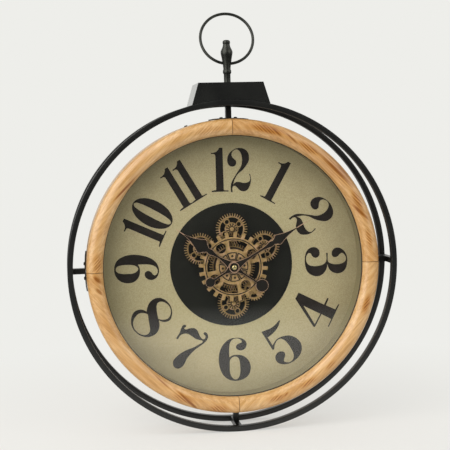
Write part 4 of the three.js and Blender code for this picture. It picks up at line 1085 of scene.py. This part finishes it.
def make_small_gears():
    rear = back_of("small_gear_top")
    front = rear + GEAR_THICK
    seat = front - SEAT_DEPTH
    face = front + ROSETTE_RISE
    window = (ROSETTE_RADIUS + ROSETTE_LEDGE, GEAR_MODULE * (SMALL_TEETH / 2 - TOOTH_ROOT) - SMALL_RIM)
    window_half = 180 / SPOKES - math.degrees(math.asin(BOSS_RADIUS / BOSS_CIRCLE))
    bead = [window[1] + offset for offset in BEAD_SPAN]
    collar_outer = BOSS_HOLE + COLLAR_WIDE
    hollow_rim = ROSETTE_RADIUS - ROSETTE_LEDGE
    for side, (angle, window_turn) in SMALL_GEARS.items():
        outlines = [gear_outline(SMALL_TEETH, mesh_angle(SMALL_TEETH, angle))]
        shapes = []
        for k in range(SPOKES):
            spoke = window_turn + 360 * k / SPOKES
            outlines.append(arc_window(window, spoke + 180 / SPOKES, window_half, SMALL_WINDOW_EDGE))
            boss = polar(BOSS_CIRCLE, spoke)
            outlines.append(circle(BOSS_HOLE, BOSS_STEPS, *boss))
            collar = washer(BOSS_HOLE, collar_outer, seat, front + COLLAR_RISE, edge=0.5, steps=BOSS_STEPS)
            shapes.append(moved(collar, at(*boss)))
        shapes.append(flat(outlines, rear, front, GEAR_BEVEL))
        shapes.append(washer(*bead, seat, front + BEAD_RISE, edge=0.4, steps=MIDDLE_STEPS))
        shapes += rosette(seat, face, front_of("small_gear_top"))
        place = at(*polar(SMALL_DISTANCE, angle))
        # The rosette's hollow is a dark ring of wash and painted shade.
        hollow = washer(KNOB_RADIUS, hollow_rim, *depths(face, ROSETTE_HOLLOW), edge=0.1, steps=SMALL_STEPS)
        body = "gear_" + side
        piece("rosette_hollow_" + side, moved(hollow, place), WASH_AND_SHADE, body, WORKS_HEIGHT)
        gear = moved(gathered(*shapes), place)
        piece("cast_gear_" + side, gear, BRONZE, body, WORKS_HEIGHT, ["small_gear_" + side])
        dress("gear_arbor_" + side, ZINC)


def make_cog_wheel():
    rear = back_of("main_cog_wheel")
    front = front_of("main_cog_wheel")
    root_half = math.degrees(math.asin(WHEEL_TOOTH / 2 / WHEEL_ROOT))
    tip_half = math.degrees(math.asin(WHEEL_TOOTH / 2 / WHEEL_TIP))
    teeth = []
    for k in range(WHEEL_TEETH):
        middle = WHEEL_TURN + 360 * k / WHEEL_TEETH
        teeth += tooth(middle, WHEEL_ROOT, root_half, WHEEL_TIP, tip_half)
        teeth.append(polar(WHEEL_ROOT, middle + 180 / WHEEL_TEETH))
    bore = circle(WHEEL_GROOVE + WHEEL_GROOVE_HALF, RING_STEPS)
    crown = flat([rounded(teeth, WHEEL_TOOTH_EDGE, steps=2), bore], rear, front, GEAR_BEVEL)
    spokes = [circle(WHEEL_GROOVE - WHEEL_GROOVE_HALF, RING_STEPS), circle(WHEEL_BORE)]
    for k in range(SPOKES):
        window_turn = WHEEL_WINDOW_TURN + 360 * k / SPOKES
        spokes.append(arc_window(WHEEL_WINDOW, window_turn, WHEEL_WINDOW_HALF, WHEEL_WINDOW_EDGE))
        hole = polar(WHEEL_HOLE_CIRCLE, window_turn + 180 / SPOKES)
        spokes.append(circle(WHEEL_HOLE, SMALL_STEPS, *hole))
    shapes = [crown, flat(spokes, rear, front + WHEEL_WEB_RISE, bevel=0.4)]
    # The groove floor and the beds round the pads are dark: wash and painted shade in these recesses.
    floor = [WHEEL_GROOVE - GROOVE_FLOOR_HALF, WHEEL_GROOVE + GROOVE_FLOOR_HALF]
    hollows = [washer(*floor, rear + SINK, front - GROOVE_DEPTH)]
    for k in range(HUB_PADS):
        angle = HUB_PAD_TURN + 360 * k / HUB_PADS
        pad = arc_window(HUB_PAD, angle, HUB_PAD_HALF, HUB_PAD_EDGE)
        hole = circle(PAD_HOLE, WIRE_STEPS, *polar(PAD_HOLE_CIRCLE, angle))
        shapes.append(flat([pad, hole], *depths(front, HUB_PAD_DEPTHS), bevel=0.35))
        bed = arc_window(HUB_BED, angle, HUB_BED_HALF, HUB_BED_EDGE)
        hollows.append(flat([bed], front, front + HUB_BED_RISE, bevel=0.1))
    shapes.append(washer(*HUB_RIM, front - SINK, front + HUB_RIM_RISE, edge=0.4, steps=MIDDLE_STEPS))
    wheel = gathered(*shapes)
    piece("cast_cog_wheel", wheel, BRONZE, "main_wheel", WORKS_HEIGHT, ["main_cog_wheel"])
    piece("cog_wheel_hollows", gathered(*hollows), WASH_AND_SHADE, "main_wheel", WORKS_HEIGHT)


def make_centre_gear():
    # The centre gear is a bright toothed band on a dark web; the web's darkness is painted shade from the
    # wheel in front of it.
    rear = back_of("centre_gear")
    front = back_of("small_gear_top") + GEAR_THICK
    band = flat([gear_outline(CENTRE_TEETH, 0), circle(CENTRE_BAND, RING_STEPS)], rear, front, GEAR_BEVEL)
    piece("cast_centre_band", band, BRONZE, "main_wheel", WORKS_HEIGHT, ["centre_gear"])
    edge = CENTRE_BAND + WEB_LAP
    hub_front = front_of("centre_gear")
    web = turned([(WHEEL_BORE, rear + WEB_BACK), (edge, rear + WEB_BACK), (edge, front - WEB_DROP),
                  (CENTRE_HUB, front - WEB_DROP), (CENTRE_HUB, hub_front), (WHEEL_BORE, hub_front)])
    piece("centre_gear_web", web, WASH_AND_SHADE, "main_wheel", WORKS_HEIGHT)
    dress("drive_pinion", BRONZE, edge=0.3)
    dress("motor_shaft", ZINC)
    dress("bearing_sleeve", BRASS)
    dress("wheel_clip", ZINC, edge=0.2)


# Hands
def bend(start, pull, end):
    """Points along the curve between two points, without the first."""
    ends = (Vector(start), Vector(pull), Vector(end))
    return [tuple(pulled(*ends, k / CURVE_STEPS)) for k in range(1, CURVE_STEPS + 1)]


def arc(x, radius, first, last):
    angles = [first + (last - first) * k / (2 * CURVE_STEPS) for k in range(2 * CURVE_STEPS + 1)]
    return [(x + right, up) for right, up in (polar(radius, angle) for angle in angles)]


def half_hand(hand):
    """Upper half of a hand from its tip to the end of its tail."""
    side = hand.hub * math.sqrt(0.5)
    flare = HUB_FLARE * hand.hub
    bead_end = hand.neck_at - 2 * hand.bead
    drop = hand.shoulder_at - hand.neck_at
    needle = (hand.needle_at, hand.needle)
    shoulder = (hand.shoulder_at, hand.shoulder)
    heel = (hand.neck_at + drop / 2, HEEL_SHARE * hand.shoulder)
    neck = (hand.neck_at, hand.neck)
    flare_end = (FLARE_REACH * hand.hub, hand.stem)
    points = [(hand.length, hand.needle / 2), needle]
    points += bend(needle, ((hand.needle_at + hand.shoulder_at) / 2, hand.shoulder / 4), shoulder)
    points += bend(shoulder, (hand.shoulder_at - drop / 4, SHOULDER_BULGE * hand.shoulder), heel)
    points.append(neck)
    points += bend(neck, (hand.neck_at - hand.bead, 2 * hand.bead - hand.neck), (bead_end, hand.neck))
    points += [(bead_end - hand.hub, hand.stem), flare_end]
    points += bend(flare_end, (flare, STEM_SWELL * hand.stem), (side, side))
    points += arc(0, hand.hub, 45, 135)[1:]
    points += bend((-side, side), (-flare, hand.stem), (-2 * hand.hub, hand.stem))
    opening = math.degrees(math.asin(hand.stem / hand.tail))
    return points + arc(-hand.tail_at, hand.tail, opening, TAIL_END)


def drawn_in(points, inset):
    """The half outline moved towards the middle of the hand, without what is too thin for it."""
    kept = []
    for k, point in enumerate(points[1:-1], 1):
        along = Vector(points[k + 1]) - Vector(points[k - 1])
        inward = Vector((-along.y, along.x)).normalized()
        spot = Vector(point) + inward * min(inset, FACE_INSET * point[1])
        if spot.y > FACE_LEAST:
            kept.append(tuple(spot))
    return kept


def mirrored(points):
    return points + [(x, -y) for x, y in reversed(points)]


def make_hand(name, hand, angle, body, bore):
    half = half_hand(hand)
    hole = circle(bore)
    front = front_of(name)
    seam = front - HAND_FACE
    blade = moved(flat([mirrored(half), hole], back_of(name), seam, bevel=0.1), turn(angle))
    # The bronze blank shows as a band round the lacquered face: bronze edge and painted highlight.
    piece(name + "_blank", blade, HAND_BRONZE_AND_HIGHLIGHT, body, WORKS_HEIGHT, [name])
    face = moved(flat([mirrored(drawn_in(half, HAND_EDGE)), hole], seam, front), turn(angle))
    piece(name + "_face", face, LACQUER, body, WORKS_HEIGHT)


def make_hands():
    make_hand("hour_hand", HOUR_HAND, HOUR_ANGLE, "hour", HOUR_BORE)
    make_hand("minute_hand", MINUTE_HAND, MINUTE_ANGLE, "minute", MINUTE_BORE)
    dress("hour_tube", ZINC)
    dress("minute_shaft", ZINC)
    rear = back_of("hand_nut")
    front = front_of("hand_nut")
    ring = washer(*HUB_RING, *depths(rear, HUB_RING_DEPTHS), steps=MIDDLE_STEPS)
    piece("minute_hub_ring", ring, HAND_BRONZE_AND_HIGHLIGHT, "minute", WORKS_HEIGHT)
    dome = edged(NUT_RADIUS, front, NUT_EDGE)
    nut = turned([(0.0, rear), (NUT_RADIUS, rear), *dome, (0.0, front)], SMALL_STEPS)
    piece("domed_hand_nut", nut, BRASS, "minute", WORKS_HEIGHT, ["hand_nut"])


# Works on the back
def make_cell(name):
    low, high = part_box(name)
    middle = middle_of(name)
    radius = (high.z - low.z) / 2 / MM
    half = (high.x - low.x) / 2 / MM
    base = [(out, -up) for out, up in edged(radius, half, CELL_BASE)]
    can = [(0.0, -half), *base, *edged(radius, half, CELL_SHOULDER),
           *edged(CELL_BUTTON, half, CELL_BUTTON_EDGE), (0.0, half)]
    cell = moved(turned(can, SMALL_STEPS), at(middle.x, middle.z - WORKS_HEIGHT, -middle.y), turn(90, "Y"))
    piece("wrapped_" + name, cell, WRAP, "case", WORKS_HEIGHT, [name])


def make_set_knob():
    name = "set_knob"
    rear = back_of(name)
    knurl = []
    for k in range(2 * SETTER_RIDGES):
        knurl.append(polar(SETTER_RIDGE if k % 2 else SETTER_GROOVE, 180 * k / SETTER_RIDGES))
    cap = flat([knurl], rear, rear + SETTER_CAP, bevel=0.4)
    knob = gathered(cap, rod(SETTER_STEM, rear + SETTER_CAP - SINK, front_of(name)))
    piece("knurled_set_knob", knob, ABS, "setting_knob", height_of(name), [name])


def slab(left, right, half, edge):
    """Rounded rectangle about the x axis."""
    return rounded([(left, -half), (right, -half), (right, half), (left, half)], edge)


def make_cover_ribs():
    rear = back_of("battery_cover")
    middle = middle_of("battery_cover")
    shapes = []
    for k in range(GRIP_RIBS):
        x = middle.x + GRIP_START + GRIP_STEP * k
        rib = slab(x - GRIP_RIB_HALF, x + GRIP_RIB_HALF, GRIP_REACH, edge=0.5)
        shapes.append(flat([rib], *depths(rear, GRIP_DEPTHS), bevel=0.2))
    piece("cover_grip_ribs", gathered(*shapes), ABS, "cell_cover", middle.z)


def make_panel_clips():
    back = back_of("back_panel")
    for k in range(CLIPS):
        clip = flat([slab(*CLIP_SPAN, CLIP_HALF, edge=3.0)], *depths(back, CLIP_DEPTHS), bevel=0.3)
        head = pan_head(CLIP_SCREW_HEAD, CLIP_SCREW_RISE)
        moved(head, at(CLIP_SCREW, 0, back + CLIP_SCREW_SEAT), turn(180, "X"))
        whole = moved(gathered(clip, head), turn(360 / CLIPS * (k + 0.5)))
        piece(f"panel_clip_{k}", whole, ZINC, "case")


def make_back():
    for name in ("movement_cell", "battery_cell_upper", "battery_cell_lower"):
        make_cell(name)
    make_set_knob()
    make_cover_ribs()
    make_panel_clips()
    for name in ("movement_case", "motor_case", "battery_box"):
        dress(name, ABS, edge=1.0)
    dress("battery_cover", ABS, edge=0.4)


# Stage and light, in metres
BACKGROUND = "eeeeea"
LAMP_COLOUR = "fffcf8"
FLOOR_RADIUS = 12.0


def make_floor():
    material, add, spot = started("white_floor")
    away = add("VectorMath", {"operation": "LENGTH", "Vector": spot}, "Value")
    far = add("MapRange", {"Value": away, "From Max": 0.9, "To Min": 0.5})
    cloud = add("TexNoise", {"Vector": spot, "Scale": per_mm(300)})
    colour = add("ValToRGB", {"Fac": cloud, "stops": [(0.3, "dedbd7"), (0.7, "e1deda")]})
    paint = add("BsdfDiffuse", {"Color": colour})
    # Away from the clock the floor runs into the background; the glass mirrors only its bright middle.
    camera_ray = add("LightPath", out="Is Camera Ray")
    bright = add("MapRange", {
        "Value": away, "From Min": 1.0, "From Max": 1.6, "To Min": 0.95, "To Max": 0.08})
    strength = add("Math", {"operation": "MAXIMUM", 0: camera_ray, 1: bright})
    glow = add("Emission", {"Color": linear(BACKGROUND), "Strength": strength})
    both = add("MixShader", {0: far, 1: paint, 2: glow})
    add("OutputMaterial", {"Surface": both})
    shape = bmesh.new()
    bmesh.ops.create_circle(shape, cap_ends=True, radius=FLOOR_RADIUS, segments=MIDDLE_STEPS)
    mesh = as_mesh(shape, "floor")
    mesh.materials.append(material)
    floor = link("floor", mesh)
    floor.location = (0, -FINIAL_DEPTH * MM, (DIAL_HEIGHT - HOOP_OUTER) * MM)


def make_world():
    world = bpy.data.worlds.new("studio")
    bpy.context.scene.world = world
    add = blank(world)
    # The studio is pale all round; what glass and metal mirror of it is dim behind the camera.
    direction = add("TexCoord", out="Generated")
    depth = add("SeparateXYZ", {"Vector": direction}, "Y")
    rising = {"Value": depth, "From Min": -0.8, "From Max": 0.2, "To Max": 0.85}
    mirror_level = add("MapRange", {**rising, "To Min": 0.08})
    room_level = add("MapRange", {**rising, "To Min": 0.4})
    camera_ray = add("LightPath", out="Is Camera Ray")
    glossy_ray = add("LightPath", out="Is Glossy Ray")
    seen_ray = add("Math", {"operation": "MAXIMUM", 0: camera_ray, 1: glossy_ray})
    pale_level = add("Math", {"operation": "MAXIMUM", 0: camera_ray, 1: mirror_level})
    room = add("Background", {"Color": linear("f4f4f2"), "Strength": room_level})
    pale = add("Background", {"Color": linear(BACKGROUND), "Strength": pale_level})
    both = add("MixShader", {0: seen_ray, 1: room, 2: pale})
    add("OutputWorld", {"Surface": both})


def make_lamp(name, place, size, power):
    lamp = bpy.data.lights.new(name, "AREA")
    lamp.shape = "DISK"
    lamp.size = size
    lamp.energy = power
    lamp.color = linear(LAMP_COLOUR)[:3]
    stand = link(name, lamp)
    stand.location = place
    target = Vector((0, 0, DIAL_HEIGHT * MM))
    stand.rotation_euler = (target - Vector(place)).to_track_quat("-Z", "Y").to_euler()


make_camera()
make_hoops()
make_bracket_screws()
make_rim()
make_case_filling()
make_numerals()
make_crown()
make_small_gears()
make_cog_wheel()
make_centre_gear()
make_hands()
make_back()
make_floor()
make_world()
make_lamp("key_softbox", (-2.2, -1.8, 1.2), size=4.6, power=131.0)
make_lamp("fill_softbox", (2.4, -2.2, 1.2), size=3.4, power=36.0)
bpy.context.scene.view_settings.view_transform = "Standard"
